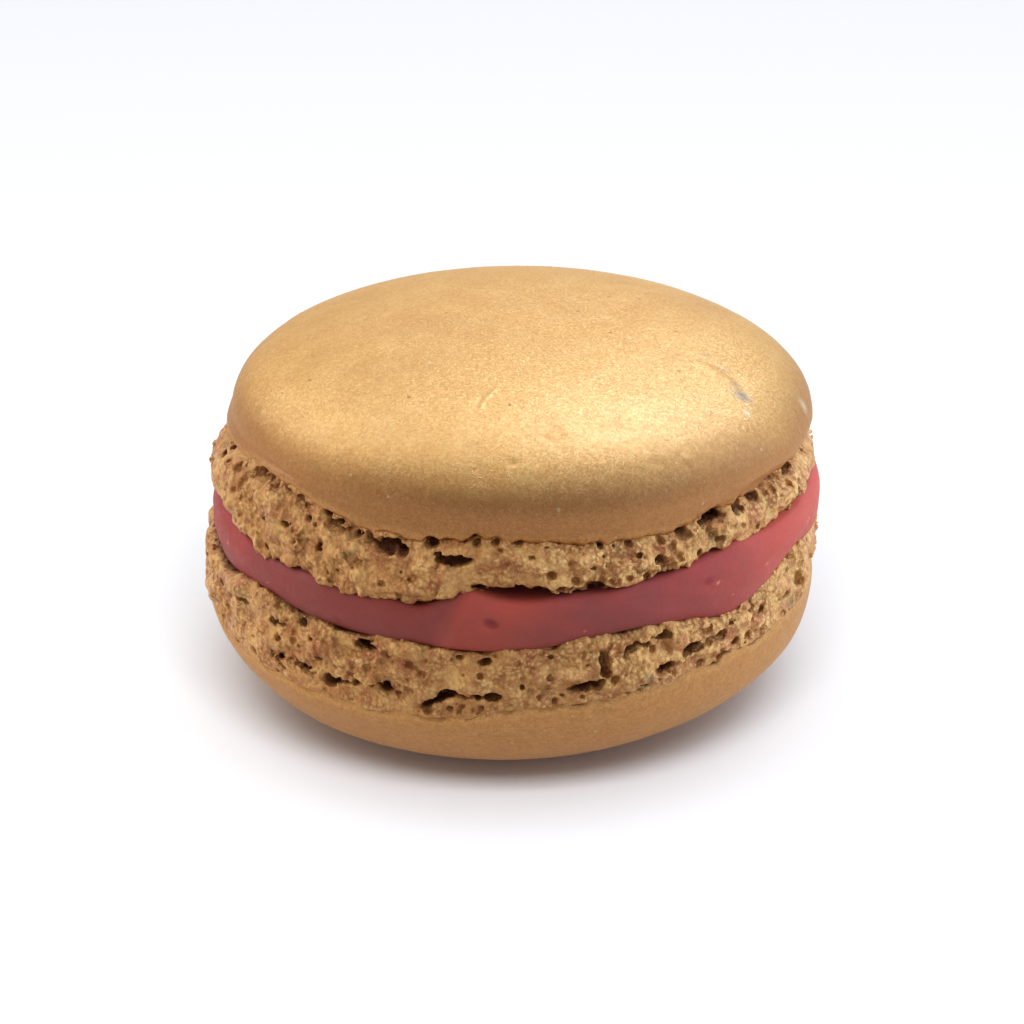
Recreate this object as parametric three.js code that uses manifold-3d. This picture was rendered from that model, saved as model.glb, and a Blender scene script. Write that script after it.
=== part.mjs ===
// A macaron: two gold-lustred almond shells, each with a craggy foot, round a pink filling.
// Millimetres, +Z up. It stands on a small flat spot under the lower shell, and the origin
// is in the middle of its base.
import * as THREE from "three";
import { ImprovedNoise } from "three/addons/math/ImprovedNoise.js";
import { mergeVertices } from "three/addons/utils/BufferGeometryUtils.js";
import Module from "manifold-3d";

const wasm = await Module();
wasm.setup();

const DEGREE = Math.PI / 180;
const SEGMENTS = 112; // facets round the biscuit

// Driving dimensions. The biscuit is 45 mm across its feet and 30 mm tall. Its parts sit a little
// to one side of each other: shift is how far along +X, and lean is how much a dome rises that way.
const UPPER_DOME = { radius: 21.1, ring: 23.2, rise: 6.6, squareness: 2.5, fullness: 2.17, lean: -0.008 };
const LOWER_DOME = { radius: 22.4, ring: 11.5, rise: 11.6, squareness: 2.5, fullness: 2.27, lean: 0.05 };
const UPPER_FOOT = { radius: 21.9, tuck: 20.9, groove: 20.6 };
const LOWER_FOOT = { radius: 22.4, tuck: 22.2, groove: 22.1 };
const SHIFT = { upperDome: 0.75, upperFoot: 0.1, filling: 0.4, lowerFoot: -0.1, lowerDome: 0.5 };
const RIM_ROUNDING = 0.75; // where a foot turns over on to the filling
const RIM_STEPS = [0, 40]; // degrees round that turn
const SEAT_RADIUS = 20.8; // the flat part of each shell, which the filling lies on
const SEAT_RINGS = [0, 14]; // radii inside it, where facets meet
const FOOT_STRAIGHT = 0.45; // the share of a foot that is upright before it draws in to the skin
const GROOVE_HEIGHT = 0.3; // from the bottom of the groove to the edge of the skin
const STAND_RADIUS = 6; // of the flat spot underneath
const FILLING = { edge: 21.2, belly: 22.2, turns: [-90, -55, -20, 20, 55, 90] };
const JOINT_GAP = 0.15; // between the filling and each shell
const ROWS = { upperDome: 7, upperFoot: 5, lowerDome: 10, lowerFoot: 6 };

// The lines round the side are not level. Each has a mean height and a few waves, and a wave is
// its size, how often it comes in a turn, and the direction of its first peak in degrees. A spot
// is a single rise or dip: its size, its direction and how far it reaches to each side.
const UPPER_SKIN_EDGE = { mean: 21.75, waves: [[0.35, 1, 183], [0.3, 2, 164], [0.35, 3, 75]], spots: [] };
const UPPER_RIM = {
  mean: 18.0,
  waves: [[0.9, 1, 24], [0.15, 2, 139]],
  spots: [[0.4, 263, 9], [-0.5, 243, 11]],
};
const LOWER_RIM = { mean: 14.4, waves: [[0.8, 1, 22], [0.25, 3, 104]], spots: [] };
const LOWER_SKIN_EDGE = { mean: 9.9, waves: [[1.3, 1, 24], [0.35, 2, 166], [0.2, 3, 74]], spots: [] };
const FILLING_SWELL = [0.4, 262, 11]; // a spot where the filling bulges outwards

// Crags of the feet, and the gentle unevenness of the skins
const CRAG = { size: 0.5, spacing: 2.6 };
const CRUMB = { size: 0.3, spacing: 1.7 };
const SKIN_SWELL = { size: 0.12, spacing: 9 };

// Open bubbles: the direction in degrees, the depth below the foot's upper line as a share of
// the foot's height, and the width and height in millimetres
const UPPER_HOLES = [
  [246, 0.1, 2.0, 1.3],
  [260, 0.3, 1.9, 1.1],
  [233, 0.1, 1.3, 0.9],
  [211, 0.2, 1.1, 1.2],
  [219, 0.45, 0.9, 0.9],
  [308, 0.2, 2.0, 0.8],
  [316, 0.25, 1.0, 0.9],
  [336, 0.2, 1.1, 1.2],
  [271, 0.8, 1.3, 0.8],
  [285, 0.85, 1.0, 0.8],
];
const LOWER_HOLES = [
  [242, 0.2, 1.8, 1.0],
  [246, 0.72, 1.5, 1.1],
  [259, 0.68, 2.1, 0.9],
  [283, 0.7, 2.1, 1.0],
  [286, 0.4, 1.2, 1.3],
  [298, 0.15, 1.4, 0.9],
  [299, 0.76, 2.2, 0.8],
  [291, 0.3, 1.2, 0.9],
  [334, 0.48, 1.0, 1.3],
  [208, 0.36, 1.2, 1.0],
];
const BACK_HOLES = { count: 7, from: 0, to: 190, width: [1.0, 2.0], height: [0.8, 1.2] };
const HOLE_DEPTH = 1.1;

const GOLD = new THREE.MeshStandardMaterial({ color: 0xc49a5c, roughness: 0.45, metalness: 0.45 });
const PINK = new THREE.MeshStandardMaterial({ color: 0xa8474f, roughness: 0.5, metalness: 0 });

const noise = new ImprovedNoise();
const mix = THREE.MathUtils.lerp;
const clamp01 = (x) => THREE.MathUtils.clamp(x, 0, 1);

function spotAt([size, direction, reach], angle) {
  const turn = THREE.MathUtils.euclideanModulo(angle / DEGREE - direction + 180, 360) - 180;
  return size * Math.exp(-((turn / reach) ** 2));
}

// How far a line is from its mean height in one direction
function waveAt(line, angle) {
  const waves = line.waves.map(([size, count, peak]) => size * Math.cos(count * (angle - peak * DEGREE)));
  const spots = line.spots.map((spot) => spotAt(spot, angle));
  return [...waves, ...spots].reduce((total, part) => total + part, 0);
}

// Perlin noise at a point, with bumps of the given spacing
function bumps({ size, spacing }, point) {
  return size * noise.noise(point.x / spacing + 40, point.y / spacing + 40, point.z / spacing + 40);
}

// A dome's section from its widest ring to its crown, as points of radius and rise
function domePoints(dome, rows) {
  const points = [];
  for (let row = 1; row <= rows; row++) {
    const share = row === rows ? 0 : Math.cos((row / rows) * 90 * DEGREE) ** 0.8;
    const rise = dome.rise * (1 - share ** dome.squareness) ** (1 / dome.fullness);
    points.push([dome.radius * share, rise]);
  }
  return points;
}

// A foot's side from its rim to the groove at the skin, as points of radius and height
function footPoints(foot, rim, groove, rows) {
  const points = [];
  for (let row = 0; row <= rows; row++) {
    const share = row / rows;
    const fall = clamp01((share - FOOT_STRAIGHT) / (1 - FOOT_STRAIGHT)) ** 2;
    const radius = mix(foot.radius, foot.groove, fall);
    points.push([radius, mix(rim, groove, share)]);
  }
  return points;
}

// The quarter round where a foot turns over on to its flat side; side is +1 for a foot that
// faces down and -1 for one that faces up
function rimPoints(foot, rim, side) {
  return RIM_STEPS.map((degrees) => [
    mix(SEAT_RADIUS, foot.radius, Math.sin(degrees * DEGREE) ** 0.7),
    rim + side * RIM_ROUNDING * (1 - Math.cos(degrees * DEGREE)),
  ]);
}

function upperSection() {
  const rim = UPPER_RIM.mean;
  const edge = UPPER_SKIN_EDGE.mean;
  const { radius, ring } = UPPER_DOME;
  return [
    ...SEAT_RINGS.map((r) => [r, rim]),
    ...rimPoints(UPPER_FOOT, rim, 1),
    ...footPoints(UPPER_FOOT, rim + RIM_ROUNDING, edge - GROOVE_HEIGHT, ROWS.upperFoot),
    [UPPER_FOOT.tuck, edge],
    [mix(UPPER_FOOT.tuck, radius, 0.75), mix(edge, ring, 0.5)],
    [radius, ring],
    ...domePoints(UPPER_DOME, ROWS.upperDome).map(([r, rise]) => [r, ring + rise]),
  ];
}

function lowerSection() {
  const rim = LOWER_RIM.mean;
  const edge = LOWER_SKIN_EDGE.mean;
  const { radius, ring } = LOWER_DOME;
  const skin = domePoints(LOWER_DOME, ROWS.lowerDome).map(([r, rise]) => [r, ring - rise]);
  return [
    ...SEAT_RINGS.map((r) => [r, rim]),
    ...rimPoints(LOWER_FOOT, rim, -1),
    ...footPoints(LOWER_FOOT, rim - RIM_ROUNDING, edge + GROOVE_HEIGHT, ROWS.lowerFoot),
    [LOWER_FOOT.tuck, edge],
    ...skin.filter(([, z]) => z < edge - GROOVE_HEIGHT),
  ];
}

function fillingSection() {
  const top = UPPER_RIM.mean - JOINT_GAP;
  const bottom = LOWER_RIM.mean + JOINT_GAP;
  const side = FILLING.turns.map((degrees) => {
    const bulge = Math.cos(degrees * DEGREE) ** 0.8;
    return [mix(FILLING.edge, FILLING.belly, bulge), mix(bottom, top, (degrees / 90 + 1) / 2)];
  });
  return [
    ...SEAT_RINGS.map((r) => [r, bottom]),
    ...side,
    ...SEAT_RINGS.toReversed().map((r) => [r, top]),
  ];
}

// Turns a section round +Z and lets reshape move each point
function turned(section, reshape) {
  const profile = section.map(([radius, height]) => new THREE.Vector2(radius, height));
  const lathe = new THREE.LatheGeometry(profile, SEGMENTS).rotateX(90 * DEGREE);
  lathe.deleteAttribute("uv");
  lathe.deleteAttribute("normal");
  const geometry = mergeVertices(lathe, 1e-4);
  const position = geometry.getAttribute("position");
  const point = new THREE.Vector3();
  for (let i = 0; i < position.count; i++) {
    point.fromBufferAttribute(position, i);
    const radius = Math.hypot(point.x, point.y);
    const angle = Math.atan2(point.y, point.x);
    const moved = reshape({ radius, angle, height: point.z }, point);
    const across = moved.radius * Math.cos(angle) + moved.shift;
    position.setXYZ(i, across, moved.radius * Math.sin(angle), moved.height);
  }
  return geometry;
}

// A shell's point follows its two wavy lines, its foot gets crags, and its skin settles to the
// plain dome over a short way. Heights are measured from the rim towards the skin: side is +1 for
// the upper shell and -1 for the lower one.
function shellShape({ rim, edge, dome, side, settling, footShift, domeShift }) {
  const footHeight = side * (edge.mean - rim.mean);
  return ({ radius, angle, height }, point) => {
    const fromRim = side * (height - rim.mean);
    const pastEdge = fromRim - footHeight;
    const across = Math.min(1, radius / dome.radius);
    const line = mix(waveAt(rim, angle), waveAt(edge, angle), clamp01(fromRim / footHeight));
    const tip = dome.lean * point.x * across ** 0.5;
    const offset = mix(line * across ** 2, tip, THREE.MathUtils.smoothstep(pastEdge, 0, settling));
    const onFoot = clamp01((radius - SEAT_RADIUS) * 2) * clamp01(-pastEdge / GROOVE_HEIGHT / 2);
    const crags = onFoot * (bumps(CRAG, point) + bumps(CRUMB, point));
    const onSkin = clamp01(pastEdge);
    const shift = mix(footShift, domeShift, onSkin);
    return { radius: radius + crags, height: height + offset + onSkin * bumps(SKIN_SWELL, point), shift };
  };
}

const upperShape = shellShape({
  rim: UPPER_RIM,
  edge: UPPER_SKIN_EDGE,
  dome: UPPER_DOME,
  side: 1,
  settling: 1.6,
  footShift: SHIFT.upperFoot,
  domeShift: SHIFT.upperDome,
});

const lowerShape = shellShape({
  rim: LOWER_RIM,
  edge: LOWER_SKIN_EDGE,
  dome: LOWER_DOME,
  side: -1,
  settling: 4,
  footShift: SHIFT.lowerFoot,
  domeShift: SHIFT.lowerDome,
});

// The lower skin is flat where it stands
function lowerStanding(place, point) {
  const moved = lowerShape(place, point);
  const height = place.radius < STAND_RADIUS ? 0 : Math.max(0, moved.height);
  return { ...moved, height };
}

function fillingShape({ radius, angle, height }) {
  const share = clamp01((height - LOWER_RIM.mean) / (UPPER_RIM.mean - LOWER_RIM.mean));
  const below = waveAt(LOWER_RIM, angle) * Math.min(1, radius / LOWER_DOME.radius) ** 2;
  const above = waveAt(UPPER_RIM, angle) * Math.min(1, radius / UPPER_DOME.radius) ** 2;
  const wave = mix(below, above, share);
  const outer = clamp01((radius - FILLING.edge + 0.4) / 0.4);
  const swell = outer * spotAt(FILLING_SWELL, angle);
  return { radius: radius + swell, height: height + wave, shift: SHIFT.filling };
}

// A repeatable run of numbers between 0 and 1
function seeded(seed) {
  let state = seed;
  return () => {
    state = (state * 16807) % 2147483647;
    return state / 2147483647;
  };
}

function backHoles(seed) {
  const draw = seeded(seed);
  const { count, from, to, width, height } = BACK_HOLES;
  const step = (to - from) / count;
  return Array.from({ length: count }, (_, i) => [
    from + step * (i + draw()),
    0.15 + 0.65 * draw(),
    mix(width[0], width[1], draw()),
    mix(height[0], height[1], draw()),
  ]);
}

// A closed geometry as a solid that can be cut
function solid(geometry) {
  const index = geometry.index.array;
  const faces = [];
  for (let i = 0; i < index.length; i += 3) {
    const [a, b, c] = [index[i], index[i + 1], index[i + 2]];
    if (a !== b && b !== c && c !== a) faces.push(a, b, c);
  }
  const vertProperties = Float32Array.from(geometry.getAttribute("position").array);
  const triVerts = Uint32Array.from(faces);
  return new wasm.Manifold(new wasm.Mesh({ numProp: 3, vertProperties, triVerts }));
}

function bubble(direction, radius, height, width, tall) {
  const ball = new THREE.IcosahedronGeometry(1, 1);
  ball.deleteAttribute("uv");
  ball.deleteAttribute("normal");
  ball.scale(HOLE_DEPTH, width / 2, tall / 2);
  ball.translate(radius, 0, height);
  ball.rotateZ(direction * DEGREE);
  return solid(mergeVertices(ball, 1e-4));
}

// Opens the bubbles of one foot, which lies between two lines
function pitted(geometry, foot, holes, upperLine, lowerLine) {
  let cut = solid(geometry);
  for (const [direction, share, width, tall] of holes) {
    const angle = direction * DEGREE;
    const top = upperLine.mean + waveAt(upperLine, angle);
    const bottom = lowerLine.mean + waveAt(lowerLine, angle);
    cut = cut.subtract(bubble(direction, foot.radius, mix(top, bottom, share), width, tall));
  }
  const mesh = cut.getMesh();
  const result = new THREE.BufferGeometry();
  result.setAttribute("position", new THREE.BufferAttribute(mesh.vertProperties, 3));
  result.setIndex(new THREE.BufferAttribute(mesh.triVerts, 1));
  return result;
}

function upperShell() {
  const whole = turned(upperSection(), upperShape);
  const holes = [...UPPER_HOLES, ...backHoles(11)];
  return pitted(whole, UPPER_FOOT, holes, UPPER_SKIN_EDGE, UPPER_RIM);
}

function lowerShell() {
  const whole = turned(lowerSection().toReversed(), lowerStanding);
  const holes = [...LOWER_HOLES, ...backHoles(23)];
  return pitted(whole, LOWER_FOOT, holes, LOWER_RIM, LOWER_SKIN_EDGE);
}

function named(name, geometry, material) {
  const mesh = new THREE.Mesh(geometry, material);
  mesh.name = name;
  return mesh;
}

const macaron = new THREE.Group();
macaron.add(named("upper_shell", upperShell(), GOLD));
macaron.add(named("filling", turned(fillingSection(), fillingShape), PINK));
macaron.add(named("lower_shell", lowerShell(), GOLD));

export default macaron;
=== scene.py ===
import math

import bpy
import numpy as np
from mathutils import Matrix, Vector


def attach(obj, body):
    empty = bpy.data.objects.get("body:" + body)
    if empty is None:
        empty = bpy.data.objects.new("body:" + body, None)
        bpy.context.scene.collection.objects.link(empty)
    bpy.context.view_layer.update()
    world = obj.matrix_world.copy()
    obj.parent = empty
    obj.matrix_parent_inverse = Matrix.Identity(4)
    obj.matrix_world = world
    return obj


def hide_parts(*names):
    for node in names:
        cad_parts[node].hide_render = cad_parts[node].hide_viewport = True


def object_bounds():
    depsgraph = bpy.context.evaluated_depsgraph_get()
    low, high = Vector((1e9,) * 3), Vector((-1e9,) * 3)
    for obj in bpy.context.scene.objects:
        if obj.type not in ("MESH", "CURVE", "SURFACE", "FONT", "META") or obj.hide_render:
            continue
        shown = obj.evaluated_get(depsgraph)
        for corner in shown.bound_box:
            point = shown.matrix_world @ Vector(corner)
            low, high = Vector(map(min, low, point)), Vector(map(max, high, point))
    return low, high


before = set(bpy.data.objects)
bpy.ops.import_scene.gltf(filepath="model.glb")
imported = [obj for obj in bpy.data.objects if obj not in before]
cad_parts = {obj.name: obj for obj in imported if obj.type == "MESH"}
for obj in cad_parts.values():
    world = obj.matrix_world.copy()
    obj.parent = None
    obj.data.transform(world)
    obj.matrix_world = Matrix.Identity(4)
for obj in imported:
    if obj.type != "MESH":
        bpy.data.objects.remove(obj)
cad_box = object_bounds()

# Everything below is worked out in millimetres and turned into metres when a mesh is made.
MM = 0.001

# Driving dimensions, the same as those of the solids that the frame carries or close to them. Shift
# is how far a part sits along +X, and lean is how much a dome rises that way.
UPPER_DOME = {"radius": 21.1, "ring": 23.2, "rise": 6.6, "squareness": 2.5, "fullness": 2.17, "lean": -0.008}
LOWER_DOME = {"radius": 22.4, "ring": 11.5, "rise": 11.6, "squareness": 2.5, "fullness": 2.27, "lean": 0.05}
UPPER_FOOT = {"radius": 21.9, "groove": 21.0, "shift": 0.1, "calm": 0.2}
LOWER_FOOT = {"radius": 22.4, "groove": 22.2, "shift": -0.1, "calm": 0.65}
UPPER_SKIN = {"tuck": 20.95, "shift": 0.75, "settling": 2.0, "sidestep": 1.6}
LOWER_SKIN = {"tuck": 22.22, "shift": 0.5, "settling": 4.0, "sidestep": 3.5}
FILLING = {"edge": 21.2, "belly": 22.3, "shift": 0.3}
STAND_RADIUS = 6.0  # of the flat spot underneath
FOOT_STRAIGHT = 0.45  # the share of a foot that is upright before it draws in to the skin
FOOT_FALL = 3  # how suddenly it draws in
# Where the upper foot stays back: depth, direction and reach
FOOT_RECESSES = [(0.4, 226, 17), (0.95, 162, 30), (0.3, 5, 22)]
RECESS_SHARES = (0.3, 0.9)  # the shares of its height between which it steps back there
FOOT_SLOPE_PAST = 1.2  # how fast it draws in under the skin
RIM_ROUNDING = 0.6  # where a foot turns over on to the filling
TOP_ROUNDING = 0.3  # where it turns in under the skin
FOOT_TOP = 0.4  # how far the crumb reaches past the skin's edge, under the skin
# How a skin turns under at its torn edge: how far in from its tuck, and how far up from the edge
UPPER_LIP = [(0.08, 0.06), (0.25, 0), (0.5, 0.03), (0.9, 0.2)]
LOWER_LIP = [(0, 0), (0.08, 0.12), (0.3, 0.15), (0.8, 0)]
SKIN_SETS_IN = (0.1, 1.0)  # how far from a skin's torn edge its unevenness sets in
UNEVEN_ABOVE_TABLE = (0.0, 0.6)  # and how far above the table
TEAR_REACH = 0.9  # how far from the edge the tear's raggedness reaches
CRUMB_REACH = 1.5  # and the colour of bare crumb
TEAR_RADIUS = 21  # where the raggedness is measured
TEAR_NOTCH = 0.3  # the depth of the notch over a hole beside the skin

# Unevenness in layers from coarse to fine: size, and the spacing of its bumps
SKIN_UNEVENNESS = [(0.05, 9.0), (0.03, 3.6), (0.012, 1.3), (0.006, 0.6)]
TEAR_UNEVENNESS = [(0.2, 2.6), (0.18, 0.9), (0.1, 0.4)]
FILLING_UNEVENNESS = [(0.1, (5.0, 5.0, 1.6)), (0.05, (2.4, 2.4, 0.8)), (0.012, (0.9, 0.9, 0.4))]

# The lines round the side. Each has a mean height and a few waves, and a wave is its size, how often
# it comes in a turn, and the direction of its first peak in degrees. A spot is a single rise or dip:
# its size, its direction and how far it reaches to each side.
UPPER_SKIN_EDGE = {
    "mean": 21.75,
    "waves": [(0.35, 1, 183), (0.3, 2, 164), (0.35, 3, 75)],
    "spots": [(0.9, 220, 14), (-0.5, 182, 14), (0.45, 267, 8), (-0.3, 287, 7), (-0.85, 305, 13)],
}
UPPER_RIM = {
    "mean": 18.0,
    "waves": [(0.9, 1, 24), (0.15, 2, 139)],
    "spots": [
        (1.0, 189, 13),
        (-0.3, 218, 10),
        (-0.5, 243, 11),
        (-0.6, 252.5, 4.5),
        (0.75, 261.5, 5),
        (-0.25, 296, 6),
        (0.45, 315, 6),
        (-0.4, 352, 10),
    ],
}
FRONT_GAP = (0.65, 276, 15)  # how far the upper foot stays off the filling at the front
LOWER_RIM = {
    "mean": 14.4,
    "waves": [(0.8, 1, 22), (0.25, 3, 104)],
    "spots": [(0.58, 215, 12), (0.7, 290, 14), (-0.8, 314, 8), (0.9, 335, 8)],
}
LOWER_SKIN_EDGE = {
    "mean": 9.9,
    "waves": [(1.3, 1, 24), (0.35, 2, 166), (0.2, 3, 74)],
    "spots": [(0.35, 276, 12)],
}

# Open bubbles that stand out: direction in degrees, share of the foot's height from the filling to
# the skin, width and height in millimetres, and how far the right end is turned up in degrees.
UPPER_HOLES = [
    (246.3, 0.88, 2.0, 1.2, 0),
    (242.2, 0.86, 1.5, 0.9, -25),
    (239.0, 0.9, 1.3, 0.6, -25),
    (233.7, 0.86, 1.3, 0.8, 0),
    (260.2, 0.66, 2.0, 0.9, 5),
    (256.6, 0.76, 1.2, 0.5, -10),
    (254.4, 0.98, 1.1, 0.7, 0),
    (263.1, 0.98, 0.8, 0.5, 0),
    (266.6, 0.98, 0.8, 0.5, 0),
    (270.8, 1.0, 0.9, 0.6, 0),
    (267.2, 0.02, 0.6, 0.6, 0),
    (271.0, 0.0, 1.4, 1.0, 0),
    (274.9, 0.0, 1.1, 0.9, 0),
    (278.7, -0.02, 0.8, 0.7, 0),
    (284.8, -0.02, 1.2, 0.8, 10),
    (286.4, 0.95, 0.6, 0.4, 0),
    (297.7, 0.48, 1.1, 0.7, 0),
    (303.4, 0.93, 1.1, 0.9, 0),
    (310.2, 0.95, 2.8, 0.7, 3),
    (316.8, 0.85, 1.1, 0.8, 0),
    (318.0, 0.98, 0.8, 0.5, 20),
    (322.8, 0.9, 1.0, 0.8, 0),
    (326.6, 0.98, 1.3, 0.6, 0),
    (330.6, 1.0, 0.9, 0.6, 0),
    (336.7, 0.95, 1.9, 0.9, 0),
    (311.5, 0.37, 0.8, 0.7, 0),
    (212.2, 0.96, 1.4, 0.9, 0),
    (220.8, 0.9, 1.4, 0.7, 0),
    (212.6, 0.7, 1.1, 0.9, 0),
    (216.0, 0.48, 0.8, 0.5, 0),
    (222.3, 0.57, 1.1, 0.6, -10),
    (227.6, 0.74, 0.7, 0.5, 0),
    (230.9, 0.46, 0.7, 0.6, 0),
    (240.6, 0.52, 0.7, 0.6, 0),
    (245.9, 0.32, 0.6, 0.5, 0),
]
LOWER_HOLES = [
    (196.0, 0.3, 1.6, 0.7, 0),
    (210.9, 0.26, 1.5, 0.7, 0),
    (222.2, 0.26, 1.4, 0.4, 0),
    (228.2, 0.12, 0.9, 0.6, 0),
    (231.8, 0.16, 0.7, 0.6, 0),
    (243.2, 0.12, 2.0, 0.8, -5),
    (247.3, 0.18, 0.7, 0.9, 0),
    (260.7, 0.1, 0.7, 0.4, 0),
    (265.7, 0.16, 1.1, 0.6, 0),
    (222.5, 0.8, 2.3, 0.3, -8),
    (229.5, 0.74, 2.1, 0.3, 6),
    (235.1, 0.76, 1.4, 0.9, 0),
    (241.8, 0.63, 0.9, 0.8, 0),
    (247.0, 0.66, 1.1, 0.8, 0),
    (259.0, 0.65, 1.8, 0.8, 5),
    (266.9, 0.7, 1.5, 0.9, 0),
    (254.6, 0.85, 1.1, 0.4, 0),
    (298.8, 0.18, 1.3, 0.6, 0),
    (291.7, 0.3, 1.1, 0.6, 15),
    (286.8, 0.4, 0.8, 1.7, 0),
    (283.7, 0.74, 2.3, 0.7, 6),
    (288.5, 0.67, 0.7, 0.8, 0),
    (277.1, 0.17, 0.5, 0.4, 0),
    (270.8, 0.18, 0.8, 0.5, 0),
    (299.2, 0.7, 2.0, 0.8, 12),
    (304.6, 0.5, 2.1, 0.9, 10),
    (311.3, 0.4, 1.3, 0.9, 0),
    (315.6, 0.75, 0.9, 0.6, 0),
    (318.9, 0.8, 0.9, 0.6, 0),
    (319.5, 0.48, 0.8, 0.6, 0),
    (323.4, 0.54, 0.9, 0.6, 0),
    (330.2, 0.6, 1.3, 0.7, 0),
    (336.8, 0.58, 1.4, 1.0, 0),
    (348.0, 0.57, 0.9, 0.7, 0),
    (294.3, 0.87, 1.2, 0.3, -20),
]

# Crevices between plates of crumb: places as direction and share, half width and depth
UPPER_CREVICES = [
    ([(232, 0.94), (239, 0.88), (243, 0.83), (246.5, 0.8), (249.6, 0.84)], 0.42, 1.3),
    ([(254, 0.96), (256.8, 0.78), (260.5, 0.66)], 0.34, 1.0),
    ([(306, 0.93), (310, 0.95), (314, 0.93)], 0.28, 1.2),
    ([(207, 0.94), (212, 0.92), (220.8, 0.91), (227, 0.95)], 0.3, 0.8),
    ([(266, -0.07), (273, -0.06), (279, -0.06), (289, -0.07)], 0.38, 1.2),
    ([(326, 0.97), (331, 0.98), (337, 0.96)], 0.3, 0.9),
]
LOWER_CREVICES = [
    ([(286.2, 0.2), (286.8, 0.36), (287.4, 0.6), (285.6, 0.74), (281, 0.74)], 0.3, 1.4),
    ([(297, 0.76), (299.2, 0.73), (301.2, 0.65), (303.4, 0.52), (306.3, 0.48), (309.5, 0.44)], 0.3, 1.4),
    ([(291.7, 0.3), (295.6, 0.23), (299, 0.16)], 0.26, 0.9),
    ([(220.5, 0.74), (225.8, 0.71), (231, 0.75)], 0.15, 0.7),
    ([(255, 0.8), (259, 0.66), (263.6, 0.68), (268.2, 0.66)], 0.28, 1.2),
    ([(235, 0.75), (238.6, 0.73), (241.8, 0.62), (247, 0.64)], 0.26, 1.0),
    ([(293.5, 0.8), (295, 0.88), (298, 0.86)], 0.12, 0.5),
]
CREVICE_STEP = 0.3  # between the bubbles that make up a crevice
# A hole's half depth as a share of its size, the most it can be, and the share of it that is sunk
HOLE = {"depth": 0.6, "deepest": 1.2, "sunk": 0.3}
BUBBLE_UNEVENNESS = [(0.1, 0.6), (0.05, 0.3)]  # in layers of size and spacing, as above

# How far each kind of crumb stands out of a foot's plain side, and how far they all start below it
CRUMB = {"ruffle": 0.24, "plates": 0.2, "lumps": 0.36, "grains": 0.3, "burst": 0.28, "sunk": 0.13}
# Loose random bubbles of each foot: how many, and their share of the height
FOAM = {"edge": (240, 0.84, 1.14), "rim": (110, 0.02, 0.24), "middle": (330, 0.1, 0.9)}
FOAM_RADIUS = (0.1, 0.42)
BACK_CREVICES = 12
# How far round a bubble its cut is worked out: a share of its half size, and a margin
WINDOW_SHARE = 1.4
WINDOW_MARGIN = 0.2

# Grid of a foot: steps round, up and in, and how far it reaches below its rim, past the skin's edge,
# into the foot and out of it
FOOT_TURNS = 890
FOOT_ROWS = 42
FOOT_LAYERS = 22
FOOT_REACH = {"below": 0.45, "above": 0.6, "inner": -2.1, "outer": 0.65}
FRONT_FINENESS = 0.2  # the share by which steps are shorter at the front and longer behind
FIELD_OUTSIDE = 0.05  # a value of a foot's field that is surely outside the crumb
RELIEF_SETS_IN = (0.15, 0.8)  # how far out from the grid's inside the relief sets in and is whole
CALM_FROM_TO = (0.7, 1.05)  # the shares of its height between which a foot grows calmer
FOOT_CORE = 0.3  # how much of the grid's inside no bubble opens
# Faces this far in, and this near the filling or the skin, can't be seen and are left out
COVERED = {"inside": 1.1, "by_filling": 0.4, "by_skin": 0.15}
RECESS_SHADE_DEPTH = 1.4  # how deep in the crumb's colour is at its darkest: browner crumb without gold dust, and painted shade in holes and hollows
SHADE_BY_SKIN = (0.7, 1.0)  # the shares of its height between which painted shade by the skin's edge sets in

SKIN_TURNS = 760
CROWN_ROWS = 88
WALL_ROWS = 14
BELLY_ROWS = 84
HEM_ROWS = 4
FILLING_TURNS = 1000
FILLING_ROWS = 44


# Seeded noise

CELL_OFFSET = np.float32(512.0)  # keeps the numbers of the noise's cells above zero


def lattice(ix, iy, iz, seed):
    """A repeatable number between -1 and 1 for each whole-number place."""
    mixed = ix * np.uint32(73856093)
    mixed ^= iy * np.uint32(19349663)
    mixed ^= iz * np.uint32(83492791)
    mixed += np.uint32((seed * 668265263) % 4294967296)
    mixed ^= mixed >> np.uint32(15)
    mixed *= np.uint32(2246822519)
    mixed ^= mixed >> np.uint32(13)
    mixed *= np.uint32(3266489917)
    mixed ^= mixed >> np.uint32(16)
    return mixed.astype(np.float32) / np.float32(2147483648.0) - np.float32(1.0)


def noise(point, spacing, seed):
    """Smooth seeded noise between -1 and 1 at a point (x, y, z), with bumps about spacing apart."""
    spacings = spacing if isinstance(spacing, tuple) else (spacing,) * 3
    cells = []
    fades = []
    for coordinate, step in zip(point, spacings):
        scaled = coordinate.astype(np.float32) / np.float32(step) + CELL_OFFSET
        cell = np.floor(scaled)
        part = scaled - cell
        cells.append(cell.astype(np.uint32))
        fades.append(part * part * part * (part * (part * 6 - 15) + 10))
    total = 0
    for dx in (0, 1):
        for dy in (0, 1):
            for dz in (0, 1):
                weight = fades[0] if dx else 1 - fades[0]
                weight = weight * (fades[1] if dy else 1 - fades[1])
                weight = weight * (fades[2] if dz else 1 - fades[2])
                corner = (cells[0] + np.uint32(dx), cells[1] + np.uint32(dy), cells[2] + np.uint32(dz))
                total = total + weight * lattice(*corner, seed)
    return total


def layered_noise(place, layers, seed):
    """Noise in layers of size and spacing, each with the next seed."""
    return sum(size * noise(place, spacing, seed + i) for i, (size, spacing) in enumerate(layers))


# Small helpers

def mix(a, b, share):
    return a + (b - a) * share


def smooth(value, low, high):
    share = np.clip((value - low) / (high - low), 0, 1)
    return share * share * (3 - 2 * share)


def turn_between(angle, direction):
    """Degrees from a direction to an angle, the short way round."""
    return (np.degrees(angle) - direction + 180) % 360 - 180


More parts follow.
